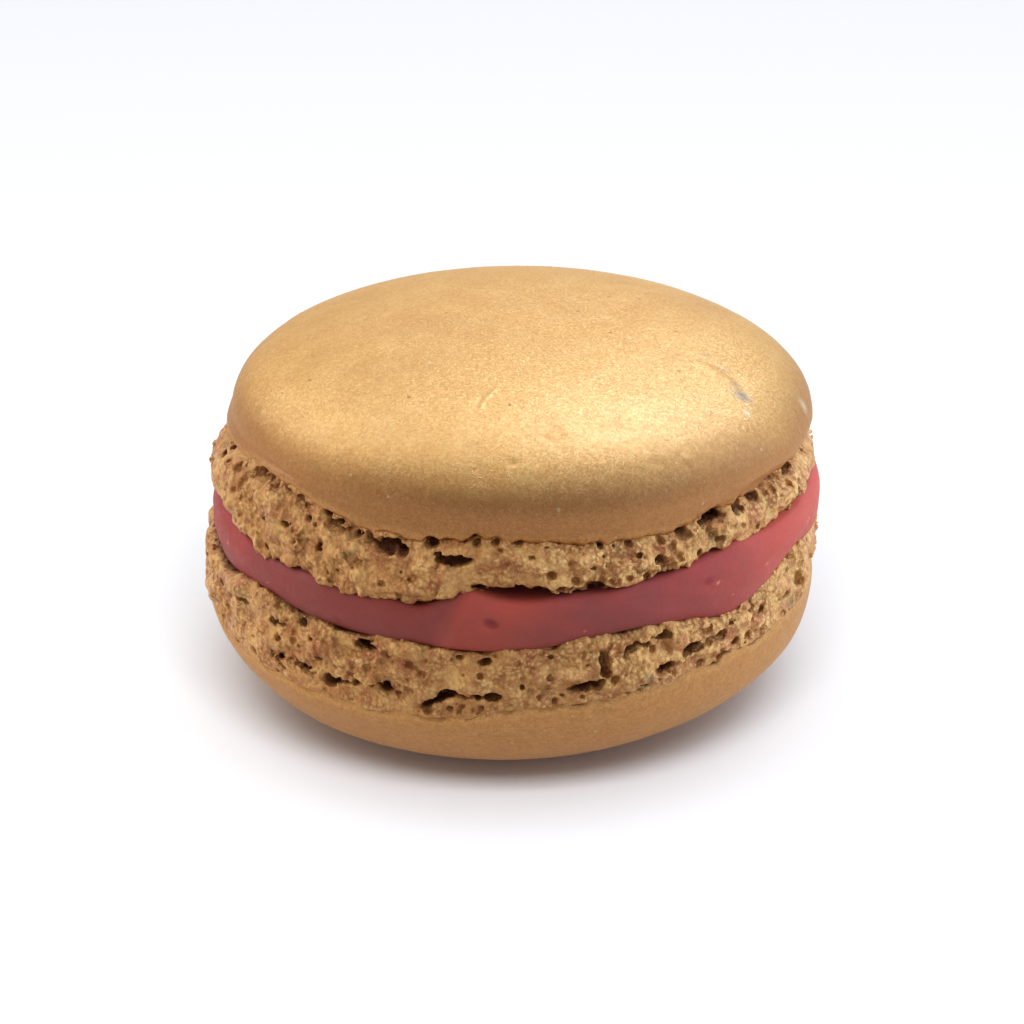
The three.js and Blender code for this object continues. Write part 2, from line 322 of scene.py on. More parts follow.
def line_at(line, angle):
    height = np.full_like(angle, line["mean"], dtype=float)
    for size, count, peak in line["waves"]:
        height = height + size * np.cos(count * (angle - math.radians(peak)))
    for size, direction, reach in line["spots"]:
        height = height + size * np.exp(-((turn_between(angle, direction) / reach) ** 2))
    return height


def resample(profile, count):
    """Points spread evenly along a profile of radius and height."""
    profile = np.array(profile, float)
    steps = np.hypot(*np.diff(profile, axis=0).T)
    along = np.concatenate([[0], np.cumsum(steps)])
    wanted = np.linspace(0, along[-1], count)
    return np.stack([np.interp(wanted, along, profile[:, i]) for i in (0, 1)], axis=1)


# Meshes

def keep_inside(points):
    """Holds stray crumbs inside the box of the solids."""
    margin = 0.004
    low = np.array(cad_box[0]) / MM + margin
    high = np.array(cad_box[1]) / MM - margin
    low[2] -= margin
    return np.clip(points, low, high)


def make_piece(name, points, faces, material, masks=()):
    """A smooth-shaded mesh object from points in millimetres, with named masks on its points."""
    mesh = bpy.data.meshes.new(name)
    mesh.from_pydata((keep_inside(points) * MM).tolist(), [], faces)
    for mask, values in dict(masks).items():
        attribute = mesh.attributes.new(mask, "FLOAT", "POINT")
        attribute.data.foreach_set("value", np.asarray(values, np.float32))
    mesh.shade_smooth()
    mesh.materials.append(material)
    mesh.update()
    piece = bpy.data.objects.new(name, mesh)
    bpy.context.collection.objects.link(piece)
    return piece


def ring_faces(rows, turns):
    """Four-sided faces between rows of a grid whose points run round in turns."""
    row = np.arange(rows - 1)[:, None] * turns
    here = np.arange(turns)[None, :]
    after = (here + 1) % turns
    corners = [row + here, row + after, row + turns + after, row + turns + here]
    return np.stack(corners, axis=-1).reshape(-1, 4)


def capped(rows, turns):
    """Faces of a grid of rings closed by a pole at each end; the poles are the last two points."""
    quads = ring_faces(rows, turns)
    first_pole = rows * turns
    here = np.arange(turns)
    after = (here + 1) % turns
    first = np.stack([np.full(turns, first_pole), after, here], axis=1)
    last_row = (rows - 1) * turns
    last = np.stack([np.full(turns, first_pole + 1), last_row + here, last_row + after], axis=1)
    return quads.tolist() + first.tolist() + last.tolist()


def with_poles(grid, first, last):
    """Points or mask values of a grid in one run, and those of the two poles after them."""
    return np.concatenate([np.reshape(grid, (-1, *np.shape(first))), [first, last]])


# Skins of the two domes

def dome_curve(dome, count):
    """The radius and the rise of a dome from its middle out to its ring."""
    turn = np.radians(np.linspace(90, 0, count))[1:]
    share = np.cos(turn) ** 0.8
    rise = dome["rise"] * (1 - share ** dome["squareness"]) ** (1 / dome["fullness"])
    return dome["radius"] * share, rise


def upper_profile():
    """From the crown down over the shoulder to the edge, then in under it: radius and height."""
    dome = UPPER_DOME
    edge = UPPER_SKIN_EDGE["mean"]
    radius, rise = dome_curve(dome, 300)
    crown = list(zip(radius, dome["ring"] + rise))
    tuck = UPPER_SKIN["tuck"]
    wall = [(mix(tuck, dome["radius"], 0.75), mix(edge, dome["ring"], 0.5)), (tuck, edge + 0.2)]
    lip = [(tuck - inwards, edge + up) for inwards, up in UPPER_LIP]
    return crown, wall + lip


def lower_profile():
    """From the middle of the flat spot out over the belly to the edge, then in over it."""
    dome = LOWER_DOME
    edge = LOWER_SKIN_EDGE["mean"]
    radius, rise = dome_curve(dome, 400)
    belly = [(r, z) for r, z in zip(radius, dome["ring"] - rise) if z < edge - 0.3]
    lip = [(LOWER_SKIN["tuck"] - inwards, edge + up) for inwards, up in LOWER_LIP]
    return belly, lip


def skin_points(profile, turns, dome, skin, edge, rim, side, foot_shift):
    """The plain skin on a grid of rows by turns, and how far each point is past the skin's edge."""
    angle = np.linspace(0, 2 * np.pi, turns, endpoint=False)[None, :]
    radius = profile[:, :1]
    height = profile[:, 1:]
    foot_height = side * (edge["mean"] - rim["mean"])
    from_rim = side * (height - rim["mean"])
    past_edge = from_rim - foot_height
    across = np.minimum(1, radius / dome["radius"])
    edge_wave = line_at(edge, angle) - edge["mean"]
    rim_wave = line_at(rim, angle) - rim["mean"]
    line = mix(rim_wave, edge_wave, np.clip(from_rim / foot_height, 0, 1))
    tip = dome["lean"] * radius * np.cos(angle) * across ** 0.5
    offset = mix(line * across ** 2, tip, smooth(past_edge, 0, skin["settling"]))
    shift = mix(foot_shift, skin["shift"], np.clip(past_edge / skin["sidestep"], 0, 1))
    x = radius * np.cos(angle) + shift
    y = radius * np.sin(angle) + 0 * shift
    return np.stack([x, y, height + offset], axis=-1), past_edge + 0 * angle, angle + 0 * radius


def grid_normals(points, side):
    """Outward normals of a grid of rings."""
    along = np.roll(points, -1, axis=1) - np.roll(points, 1, axis=1)
    down = np.gradient(points, axis=0)
    normal = np.cross(along, down) * -side
    length = np.linalg.norm(normal, axis=-1, keepdims=True)
    return normal / np.maximum(length, 1e-9)


def near_stroke(x, y, start, end):
    """Distance in plan from a straight stroke, and the share of the way along it."""
    ax, ay = start
    bx, by = end
    length = math.hypot(bx - ax, by - ay)
    along = np.clip(((x - ax) * (bx - ax) + (y - ay) * (by - ay)) / length ** 2, 0, 1)
    return np.hypot(x - mix(ax, bx, along), y - mix(ay, by, along)), along


# Marks on the upper skin, in plan: start, end, half width and height (raised above 0)
CREASES = [
    ((12.9, -4.6), (14.4, -5.2), 0.4, -0.04),
    ((14.4, -5.2), (15.9, -6.6), 0.4, -0.06),
    ((15.9, -6.6), (16.5, -8.2), 0.3, -0.05),
    ((12.6, -5.2), (14.7, -6.3), 0.5, 0.05),
    ((-2.3, -14.1), (-1.9, -12.9), 0.12, 0.05),
    ((-1.9, -12.9), (-1.0, -11.4), 0.12, 0.06),
    ((-2.5, -13.6), (-2.1, -12.6), 0.13, -0.05),
    ((-0.5, -18.7), (0.5, -18.95), 0.1, -0.12),
    ((2.0, -16.6), (2.7, -17.2), 0.11, -0.1),
    ((2.7, -17.2), (3.6, -16.6), 0.12, -0.1),
    ((2.2, -16.2), (3.3, -16.1), 0.13, -0.07),
    ((9.4, -17.5), (10.6, -17.2), 0.1, -0.08),
    ((10.9, -16.9), (11.6, -16.3), 0.1, -0.1),
    ((11.6, -16.3), (12.5, -16.3), 0.12, 0.07),
    ((12.0, -16.8), (12.9, -15.9), 0.1, -0.08),
    ((8.1, -18.3), (8.9, -18.2), 0.1, -0.07),
    ((13.5, -14.9), (14.3, -14.3), 0.1, -0.07),
]
MARKS_FROM_TO = (22.8, 23.6)  # the heights between which the marks set in
# A grey-blue smudge with a faint tail: x, y, reach and strength
SMUDGES = [
    (16.2, -8.3, 0.6, 1.0),
    (15.8, -7.1, 0.35, 0.5),
    (15.1, -5.5, 0.35, 0.35),
    (13.8, -4.0, 0.4, 0.3),
]
PALE_BUBBLE = (20.9, -4.3, 0.45)  # x, y and reach of a blister on the shoulder
PALE_HEIGHT = (24.9, 0.6)  # its height, and its reach up and down
PALE_STROKE = (16.5, -10.1, 0.25)  # x, y and reach of a pale dab
# Seeded pits and grains: how many, their reach and depth, and the radii between which they lie
PITS = {"count": 420, "reach": 0.13, "depth": 0.035, "low_radius": 3.0, "high_radius": 20.9}
SHADE_PER_MM_SUNK = 12  # how fast painted shade darkens a crease or pit with its depth

# The gold dust lies thick on top and thin on the sides, where the brown shell shows through; the brown is
# also painted shade, as the sides get less light: the heights between which the upper skin changes, and
# how far the lower skin is like its side, which paints shade over all of it
SIDE_FROM_TO = (22.6, 28.0)
SIDE_WANDER = 0.5  # how far those heights wander round the dome
LOWER_SIDE_AND_SHADE = 0.65


def skin_marks(x, y):
    height = np.zeros_like(x)
    for start, end, width, size in CREASES:
        away, along = near_stroke(x, y, start, end)
        taper = np.sin(np.pi * np.clip(along, 0.12, 0.88)) ** 0.5
        height += size * taper * np.exp(-((away / width) ** 2))
    return height


def spot(x, y, place):
    px, py, reach = place
    return np.exp(-(np.hypot(x - px, y - py) / reach) ** 2)


def scattered_pits(points, seed, count, reach, depth, low_radius, high_radius):
    """Small seeded pits and grains on the skin, worked out in plan."""
    draw = np.random.default_rng(seed)
    x = points[..., 0]
    y = points[..., 1]
    height = np.zeros_like(x)
    for _ in range(count):
        radius = math.sqrt(mix(low_radius ** 2, high_radius ** 2, draw.random()))
        direction = 2 * math.pi * draw.random()
        px = radius * math.cos(direction)
        py = radius * math.sin(direction)
        size = mix(0.6, 1.4, draw.random()) * reach
        close = (np.abs(x - px) < 3 * size) & (np.abs(y - py) < 3 * size)
        away = np.hypot(x[close] - px, y[close] - py) / size
        height[close] += mix(-depth, depth * 0.8, draw.random()) * np.exp(-away ** 2)
    return height


def skin_relief(points, seed):
    """Gentle unevenness of a piped and dried shell, in millimetres."""
    return layered_noise(np.moveaxis(points, -1, 0), SKIN_UNEVENNESS, seed)


def ragged(angle, holes, side, seed):
    """How far the torn edge of a skin strays from its line, with a notch over each hole beside it."""
    place = (TEAR_RADIUS * np.cos(angle), TEAR_RADIUS * np.sin(angle), angle * 0)
    stray = layered_noise(place, TEAR_UNEVENNESS, seed)
    for direction, share, width, _, _ in holes:
        if share > 0.9:
            reach = math.degrees(width / 2 / TEAR_RADIUS)
            stray = stray + side * TEAR_NOTCH * np.exp(-((turn_between(angle, direction) / reach) ** 4))
    return stray


def upper_skin(material):
    crown, wall = upper_profile()
    shoulder = resample([crown[-1]] + wall[:2], WALL_ROWS)[1:]
    rows = np.concatenate([resample(crown, CROWN_ROWS), shoulder, wall[2:]])
    points, past_edge, angle = skin_points(
        rows, SKIN_TURNS, UPPER_DOME, UPPER_SKIN, UPPER_SKIN_EDGE, UPPER_RIM, 1, UPPER_FOOT["shift"]
    )
    normal = grid_normals(points, 1)
    x = points[..., 0]
    y = points[..., 1]
    marked = smooth(points[..., 2], *MARKS_FROM_TO)
    relief = skin_relief(points, 5) * smooth(past_edge, *SKIN_SETS_IN)
    relief += marked * skin_marks(x, y)
    relief += marked * scattered_pits(points, 41, **PITS)
    points = points + normal * relief[..., None]
    points[..., 2] += ragged(angle, UPPER_HOLES, 1, 31) * (1 - smooth(past_edge, 0, TEAR_REACH))
    height = points[..., 2]
    # Painted shade in sunken creases and pits, darker the deeper they are
    sunk_shade = marked * np.clip(-relief * SHADE_PER_MM_SUNK, 0, 1)
    pale_middle, pale_reach = PALE_HEIGHT
    blister = np.exp(-(((height - pale_middle) / pale_reach) ** 2))
    pale = np.maximum(blister * spot(x, y, PALE_BUBBLE), marked * spot(x, y, PALE_STROKE))
    smudge = 0 * x
    for px, py, reach, strength in SMUDGES:
        smudge = np.maximum(smudge, strength * spot(x, y, (px, py, reach)))
    # Side is 1 low on the dome and 0 on top: the brown of thin dust, and painted shade where less light falls
    side = 1 - smooth(height - SIDE_WANDER * noise((x, y, height), 5.0, 45), *SIDE_FROM_TO)
    masks = {
        "edge": with_poles(1 - smooth(past_edge, 0, CRUMB_REACH), 0, 1),
        "side": with_poles(side, 0, 1),
        "sunk_shade": with_poles(sunk_shade, 0, 0),
        "smudge": with_poles(marked * smudge, 0, 0),
        "pale": with_poles(pale, 0, 0),
    }
    crown_point = [UPPER_SKIN["shift"], 0, points[0, :, 2].mean()]
    under_point = [UPPER_SKIN["shift"], 0, UPPER_SKIN_EDGE["mean"] + 0.3]
    faces = [face[::-1] for face in capped(len(rows), SKIN_TURNS)]
    return make_piece("upper_skin", with_poles(points, crown_point, under_point), faces, material, masks)


def lower_skin(material):
    belly, lip = lower_profile()
    hem = resample([belly[-1], lip[0]], HEM_ROWS)[1:]
    rows = np.concatenate([resample(belly, BELLY_ROWS), hem, lip[1:]])
    points, past_edge, angle = skin_points(
        rows, SKIN_TURNS, LOWER_DOME, LOWER_SKIN, LOWER_SKIN_EDGE, LOWER_RIM, -1, LOWER_FOOT["shift"]
    )
    normal = grid_normals(points, -1)
    on_side = smooth(past_edge, *SKIN_SETS_IN) * smooth(points[..., 2], *UNEVEN_ABOVE_TABLE)
    relief = skin_relief(points, 15) * on_side
    points = points + normal * relief[..., None]
    points[..., 2] += ragged(angle, LOWER_HOLES, -1, 37) * (1 - smooth(past_edge, 0, TEAR_REACH))
    standing = rows[:, :1] < STAND_RADIUS
    points[..., 2] = np.where(standing, 0, np.maximum(0, points[..., 2]))
    nothing = with_poles(0 * past_edge, 0, 0)
    masks = {
        "edge": with_poles(1 - smooth(past_edge, 0, CRUMB_REACH), 0, 1),
        # Painted shade over all of the lower skin, which faces the table, with the brown of thin dust
        "side": nothing + LOWER_SIDE_AND_SHADE,
        "sunk_shade": nothing,
        "smudge": nothing,
        "pale": nothing,
    }
    under_point = [LOWER_SKIN["shift"], 0, 0]
    top_point = [LOWER_SKIN["shift"], 0, LOWER_SKIN_EDGE["mean"]]
    points = with_poles(points, under_point, top_point)
    return make_piece("lower_skin", points, capped(len(rows), SKIN_TURNS), material, masks)


# Feet: crumb full of open bubbles, wrapped as a skin round the places where a field changes sign

class Foot:
    """One foot's own grid: turns round it, rows from its rim past the skin's edge, layers outwards."""

    def __init__(self, form, rim, edge, side, holes, crevices, seed):
        self.form = form
        self.rim = rim
        self.edge = edge
        self.side = side
        self.holes = holes
        self.crevices = crevices
        self.recesses = FOOT_RECESSES if side > 0 else []
        self.seed = seed

    def angle(self, turn):
        """The grid's steps are shorter at the front, where the foot is seen best."""
        even = turn * 2 * np.pi / FOOT_TURNS
        return even - FRONT_FINENESS * np.cos(even)

    def turn(self, direction):
        """The grid's turn for a direction in degrees."""
        turns = np.arange(-FOOT_TURNS, 2 * FOOT_TURNS)
        return np.interp(math.radians(direction), self.angle(turns), turns)

    def height(self, angle):
        return self.side * (line_at(self.edge, angle) - line_at(self.rim, angle))

    def up(self, angle, row):
        """Millimetres from the rim towards the skin."""
        top = self.height(angle) + FOOT_REACH["above"]
        return mix(-FOOT_REACH["below"], top, row / (FOOT_ROWS - 1))

    def out(self, layer):
        """Millimetres out of the plain side of the foot."""
        return mix(FOOT_REACH["inner"], FOOT_REACH["outer"], layer / (FOOT_LAYERS - 1))

    def base(self, angle, up):
        """Radius of the plain side."""
        share = np.clip(up / self.height(angle), 0, 1)
        fall = np.clip((share - FOOT_STRAIGHT) / (1 - FOOT_STRAIGHT), 0, 1) ** FOOT_FALL
        past = np.maximum(0, up - self.height(angle))
        recess = FOOT_SLOPE_PAST * past
        for depth, direction, reach in self.recesses:
            here = np.exp(-((turn_between(angle, direction) / reach) ** 4))
            recess = recess + depth * here * smooth(share, *RECESS_SHARES)
        return mix(self.form["radius"], self.form["groove"], fall) - recess

    def place(self, turn, row, layer):
        """Points in millimetres for places on the grid."""
        angle = self.angle(turn)
        up = self.up(angle, row)
        radius = self.base(angle, up) + self.out(layer)
        x = radius * np.cos(angle) + self.form["shift"]
        y = radius * np.sin(angle)
        z = line_at(self.rim, angle) + self.side * up
        return x, y, z


def crumb_relief(foot, place):
    """How far the crumb stands out of the plain side: ruffles, plates with torn edges, lumps with
    creases between them, small burst bubbles with ridges between them, and grains in places."""
    seed = foot.seed
    warp = 0.6 * noise(place, 1.9, seed + 5)
    bent = (place[0] + warp, place[1] - warp, place[2] + 0.6 * warp)
    ruffle = noise(bent, (3.4, 3.4, 1.5), seed)
    plates = np.tanh(5.0 * noise(bent, (2.6, 2.6, 1.2), seed + 1))
    lumps = np.abs(noise(bent, (1.5, 1.5, 1.0), seed + 2))
    burst = np.abs(noise(bent, 0.75, seed + 3))
    grainy = smooth(noise(place, 2.8, seed + 6), -0.35, 0.3)
    grains = np.abs(noise(place, 0.42, seed + 4))
    fine = CRUMB["grains"] * grains * grainy - CRUMB["burst"] * burst * mix(0.45, 1.0, grainy)
    return CRUMB["ruffle"] * ruffle + CRUMB["plates"] * plates + CRUMB["lumps"] * lumps + fine - CRUMB["sunk"]


def along_crevice(foot, path, half_width, depth, draw):
    """Uneven bubbles in a row along a path of (direction, share)."""
    bubbles = []
    for (direction, share), (next_direction, next_share) in zip(path, path[1:]):
        across = math.radians(next_direction - direction) * foot.form["radius"]
        height = foot.height(np.array([math.radians(direction)]))[0]
        length = math.hypot(across, (next_share - share) * height)
        count = max(1, round(length / CREVICE_STEP))
        for i in range(count):
            part = i / count
            size = half_width * mix(0.35, 1.25, draw.random())
            bubbles.append((
                mix(direction, next_direction, part),
                mix(share, next_share, part) + 0.035 * mix(-1, 1, draw.random()),
                size * 1.15,
                size * mix(0.7, 1.0, draw.random()),
                depth * mix(0.5, 1.0, draw.random()),
                0,
                0.25 * depth,
            ))
    return bubbles


def draw_foam(foot):
    """Every bubble: direction, share, half width, half height, half depth, tilt and how far it is sunk."""
    draw = np.random.default_rng(foot.seed * 100 + 7)
    bubbles = []
    for direction, share, width, height, tilt in foot.holes:
        depth = min(HOLE["depth"] * max(width, height), HOLE["deepest"])
        bubbles.append((direction, share, width / 2, height / 2, depth, tilt, HOLE["sunk"] * depth))
    for path, half_width, depth in foot.crevices:
        bubbles += along_crevice(foot, path, half_width, depth, draw)
    for _ in range(BACK_CREVICES):
        direction = mix(-15, 195, draw.random())
        share = mix(0.1, 1.05, draw.random())
        path = [(direction, share)]
        for _ in range(3):
            direction += mix(1.5, 4.5, draw.random())
            share = min(1.1, max(0.08, share + mix(-0.16, 0.16, draw.random())))
            path.append((direction, share))
        half_width = mix(0.18, 0.36, draw.random())
        depth = mix(0.7, 1.3, draw.random())
        bubbles += along_crevice(foot, path, half_width, depth, draw)
    for count, low, high in FOAM.values():
        for _ in range(count):
            direction = 360 * draw.random()
            share = mix(low, high, draw.random())
            size = mix(*FOAM_RADIUS, draw.random() ** 2.4)
            flat = mix(0.55, 1.0, draw.random())
            tilt = mix(-25, 25, draw.random())
            sunk = size * mix(0.1, 0.6, draw.random())
            bubbles.append((direction, share, size, size * flat, size, tilt, sunk))
    return bubbles


def open_bubbles(foot, field, relief, wobble):
    """Cuts each bubble out of the field, within its own small window of the grid."""
    layers = np.arange(FOOT_LAYERS)
    surface_layer = int(np.abs(foot.out(layers)).argmin())
    for direction, share, half_width, half_height, half_depth, tilt, sunk in draw_foam(foot):
        angle = math.radians(direction)
        foot_height = foot.height(np.array([angle]))[0]
        row_step = (foot_height + FOOT_REACH["above"] + FOOT_REACH["below"]) / (FOOT_ROWS - 1)
        turn_step = (foot.turn(direction + 0.5) - foot.turn(direction - 0.5)) / math.radians(1)
        middle_turn = foot.turn(direction)
        middle_row = (share * foot_height + FOOT_REACH["below"]) / row_step
        reach = max(half_width, half_height) * WINDOW_SHARE + WINDOW_MARGIN
        turn_reach = reach / foot.form["radius"] * turn_step
        turns = np.arange(math.floor(middle_turn - turn_reach), math.ceil(middle_turn + turn_reach) + 1)
        lowest = max(0, math.floor(middle_row - reach / row_step))
        rows = np.arange(lowest, min(FOOT_ROWS, math.ceil(middle_row + reach / row_step) + 1))
        if len(rows) == 0:
            continue
        nearest_row = min(FOOT_ROWS - 1, max(0, round(middle_row)))
        surface = relief[round(middle_turn) % FOOT_TURNS, nearest_row, surface_layer]
        centre = max(surface - sunk, FOOT_REACH["inner"] + half_depth + FOOT_CORE)
        across = ((foot.angle(turns) - angle) * foot.form["radius"])[:, None, None]
        up = ((rows - middle_row) * row_step)[None, :, None] * foot.side
        out = (foot.out(layers) - centre)[None, None, :]
        turned = math.radians(tilt)
        along = across * math.cos(turned) + up * math.sin(turned)
        off = up * math.cos(turned) - across * math.sin(turned)
        size = np.sqrt((along / half_width) ** 2 + (off / half_height) ** 2 + (out / half_depth) ** 2)
        window = np.ix_(turns % FOOT_TURNS, rows, layers)
        away = (size - 1) * min(half_width, half_height) + wobble[window]
        field[window] = np.maximum(field[window], -away)


def cut_axis(field, axis, part):
    """What is left of a grid when one axis is cut to a part."""
    window = [slice(None)] * 3
    window[axis] = part
    return field[tuple(window)]


def foot_field(foot):
    """Distance outside the crumb in millimetres at each grid place; it is below 0 inside."""
    turn = np.arange(FOOT_TURNS)[:, None, None]
    row = np.arange(FOOT_ROWS)[None, :, None]
    layer = np.arange(FOOT_LAYERS)[None, None, :]
    angle = foot.angle(turn)
    up = foot.up(angle, row)
    out = foot.out(layer)
    top = foot.height(angle) + FOOT_TOP
    rounding = np.where(up < foot.height(angle) / 2, RIM_ROUNDING, TOP_ROUNDING)
    side_gap = out + rounding
    end_gap = np.maximum(rounding - up, up - (top - rounding))
    corner = np.hypot(np.maximum(side_gap, 0), np.maximum(end_gap, 0))
    plain = corner - rounding + np.minimum(np.maximum(side_gap, end_gap), 0)
    place = np.broadcast_arrays(*foot.place(turn, row, layer))
    sets_in, whole = RELIEF_SETS_IN
    inner_fade = smooth(out, FOOT_REACH["inner"] + sets_in, FOOT_REACH["inner"] + whole)
    relief = crumb_relief(foot, place)
    relief = relief * (1 - foot.form["calm"] * smooth(up / foot.height(angle), *CALM_FROM_TO))
    wobble = layered_noise(place, BUBBLE_UNEVENNESS, foot.seed + 9)
    field = plain - relief * inner_fade
    open_bubbles(foot, field, relief, wobble)
    field = np.where(out < FOOT_REACH["inner"] + FOOT_CORE, np.minimum(field, plain), field)
    for axis, end in ((1, 0), (1, -1), (2, -1)):
        shell = cut_axis(field, axis, end)
        shell[...] = np.maximum(shell, FIELD_OUTSIDE)
    return field


def crossing_cells(field):
    """Mean of the sign changes on each cell's edges, as places on the grid, and each cell's number."""
    wrapped = np.concatenate([field, field[:1]])
    cells = (field.shape[0], field.shape[1] - 1, field.shape[2] - 1)
    total = np.zeros(cells + (3,), np.float32)
    hits = np.zeros(cells, np.int32)
    for axis in range(3):
        start = cut_axis(wrapped, axis, slice(0, -1))
        end = cut_axis(wrapped, axis, slice(1, None))
        crossed = (start < 0) != (end < 0)
        part = np.where(crossed, start / np.where(crossed, start - end, 1), 0)
        others = [a for a in range(3) if a != axis]
        for first in (0, 1):
            for second in (0, 1):
                window = [slice(0, cells[a]) for a in range(3)]
                window[others[0]] = slice(first, first + cells[others[0]])
                window[others[1]] = slice(second, second + cells[others[1]])
                seen = crossed[tuple(window)]
                hits += seen
                total[..., axis] += part[tuple(window)] * seen
                total[..., others[0]] += first * seen
                total[..., others[1]] += second * seen
    active = hits > 0
    corner = np.argwhere(active)
    places = corner + total[active] / hits[active][:, None]
    number = np.full(cells, -1, np.int64)
    number[active] = np.arange(len(corner))
    return places, number


def crossing_faces(field, number):
    """One four-sided face round every grid edge where the field changes sign."""
    faces = []
    turns, rows, layers = field.shape
    for axis in range(3):
        if axis == 0:
            start = field
            end = np.roll(field, -1, axis=0)
        else:
            start = cut_axis(field, axis, slice(0, -1))
            end = cut_axis(field, axis, slice(1, None))
        crossed = (start < 0) != (end < 0)
        first, second = [(1, 2), (2, 0), (0, 1)][axis]
        for other in (first, second):
            if other != 0:
                cut_axis(crossed, other, 0)[...] = False
                cut_axis(crossed, other, -1)[...] = False
        at = np.argwhere(crossed)
        forward = start[tuple(at.T)] < 0
        ring = []
        for back_first, back_second in ((1, 1), (0, 1), (0, 0), (1, 0)):
            cell = at.copy()
            cell[:, first] -= back_first
            cell[:, second] -= back_second
            cell[:, 0] %= turns
            ring.append(number[tuple(cell.T)])
        quad = np.stack(ring, axis=1)
        quad[~forward] = quad[~forward][:, ::-1]
        faces.append(quad)
    return np.concatenate(faces)


def biggest_part(count, faces):
    """Which faces belong to the biggest joined-up part."""
    label = np.arange(count)
    settled = False
    while not settled:
        lowest = label[faces].min(axis=1)
        updated = label.copy()
        for corner in range(faces.shape[1]):
            np.minimum.at(updated, faces[:, corner], lowest)
        updated = updated[updated]
        settled = bool((updated == label).all())
        label = updated
    counts = np.bincount(label[faces[:, 0]], minlength=count)
    return label[faces[:, 0]] == counts.argmax()


def open_edges(faces, count):
    """Directed edges that have a face on one side only."""
    start = faces.ravel()
    end = np.roll(faces, -1, axis=1).ravel()
    forward = start * count + end
    backward = end * count + start
    alone = ~np.isin(forward, backward)
    return start[alone], end[alone]


def shown_faces(foot, places, faces):
    """Leaves out the faces that lie flat on the filling or under the skin, well in from the side."""
    turn, row, layer = places.T
    angle = foot.angle(turn)
    up = foot.up(angle, row)
    inside = foot.out(layer) < -COVERED["inside"]
    covered = inside & ((up < COVERED["by_filling"]) | (up > foot.height(angle) - COVERED["by_skin"]))
    return ~covered[faces].all(axis=1)


def foot_piece(name, foot, material):
    field = foot_field(foot).astype(np.float32)
    places, number = crossing_cells(field)
    faces = crossing_faces(field, number)
    faces = faces[biggest_part(len(places), faces)]
    faces = faces[shown_faces(foot, places, faces)]
    faces = faces[biggest_part(len(places), faces)]
    used, faces = np.unique(faces, return_inverse=True)
    faces = faces.reshape(-1, 4)
    places = places[used]
    if foot.side < 0:
        faces = faces[:, ::-1]
    turn, row, layer = places.T
    x, y, z = foot.place(turn, row, layer)
    angle = foot.angle(turn)
    up = foot.up(angle, row)
    # How far in from the plain side a point lies, for the browner bare crumb and the painted shade of holes
    recess = np.clip(-foot.out(layer) / RECESS_SHADE_DEPTH, 0, 1)
    shade_by_skin = smooth(up / foot.height(angle), *SHADE_BY_SKIN)
    points = np.stack([x, y, z], axis=1)
    count = len(points)
    start, end = open_edges(faces, count)
    middle = foot.up(np.array([0.0]), FOOT_ROWS / 2)[0]
    poles = []
    fans = []
    for pole, below in enumerate((True, False)):
        chosen = (up[start] < middle) == below
        poles.append([foot.form["shift"], 0, points[start[chosen], 2].mean()])
        fans += np.stack([end[chosen], start[chosen], np.full(chosen.sum(), count + pole)], axis=1).tolist()
    masks = {"recess": with_poles(recess, 1, 1), "shade_by_skin": with_poles(shade_by_skin, 0, 0)}
    return make_piece(name, with_poles(points, *poles), faces.tolist() + fans, material, masks)


# Filling

FILLING_SWELL = {"size": 0.4, "lean": 5}  # how far it bulges at the front, and the bulge's lean in degrees
# The directions where the bulge, the painted light and the painted shade start, are whole, ease and end
SWELL_AROUND = (255.5, 260.5, 264, 290)
LIT_AROUND = (300, 340, 390, 470)
SHADED_AROUND = (204, 220, 240, 256)
DIMPLE = (265.6, 0.6, 0.65, 0.32, 0.22)  # direction, share of height, half width, half height and depth
FILLING_SQUARENESS = 0.25  # 1 is a half round side, and 0 is flat
FILLING_DRAWN_IN = (0.3, 0.05)  # how far its plain side is drawn in at its edge and at its belly
FILLING_REACH = 0.25  # how far it reaches into each foot
FILLING_LOWERED = 0.3  # how far its top stays down under the front gap
MARK_STRETCH = 1.5  # how many times as wide as high its marks are

# Marks on the filling: direction, share of height and reach. A crumb is stuck on, a stain is darker.
FILLING_CRUMBS = [
    (309.0, 0.62, 0.1),
    (322.3, 0.5, 0.09),
    (312.8, 0.35, 0.07),
    (282.2, 0.3, 0.08),
    (218, 0.4, 0.06),
]
FILLING_STAINS = [(265.6, 0.6, 0.36), (307.0, 0.7, 0.3), (236.0, 0.3, 0.25)]
# Seeded crumbs: how many, the directions between which they lie, and their reach
FILLING_SPECKS = {"count": 30, "directions": (-30, 210), "reach": (0.08, 0.16)}


def around(angle, directions):
    """Rises from the first direction to the second and falls from the third to the fourth."""
    start, whole, easing, end = directions
    middle = (whole + easing) / 2
    direction = turn_between(angle, middle) + middle
    return smooth(direction, start, whole) * (1 - smooth(direction, easing, end))


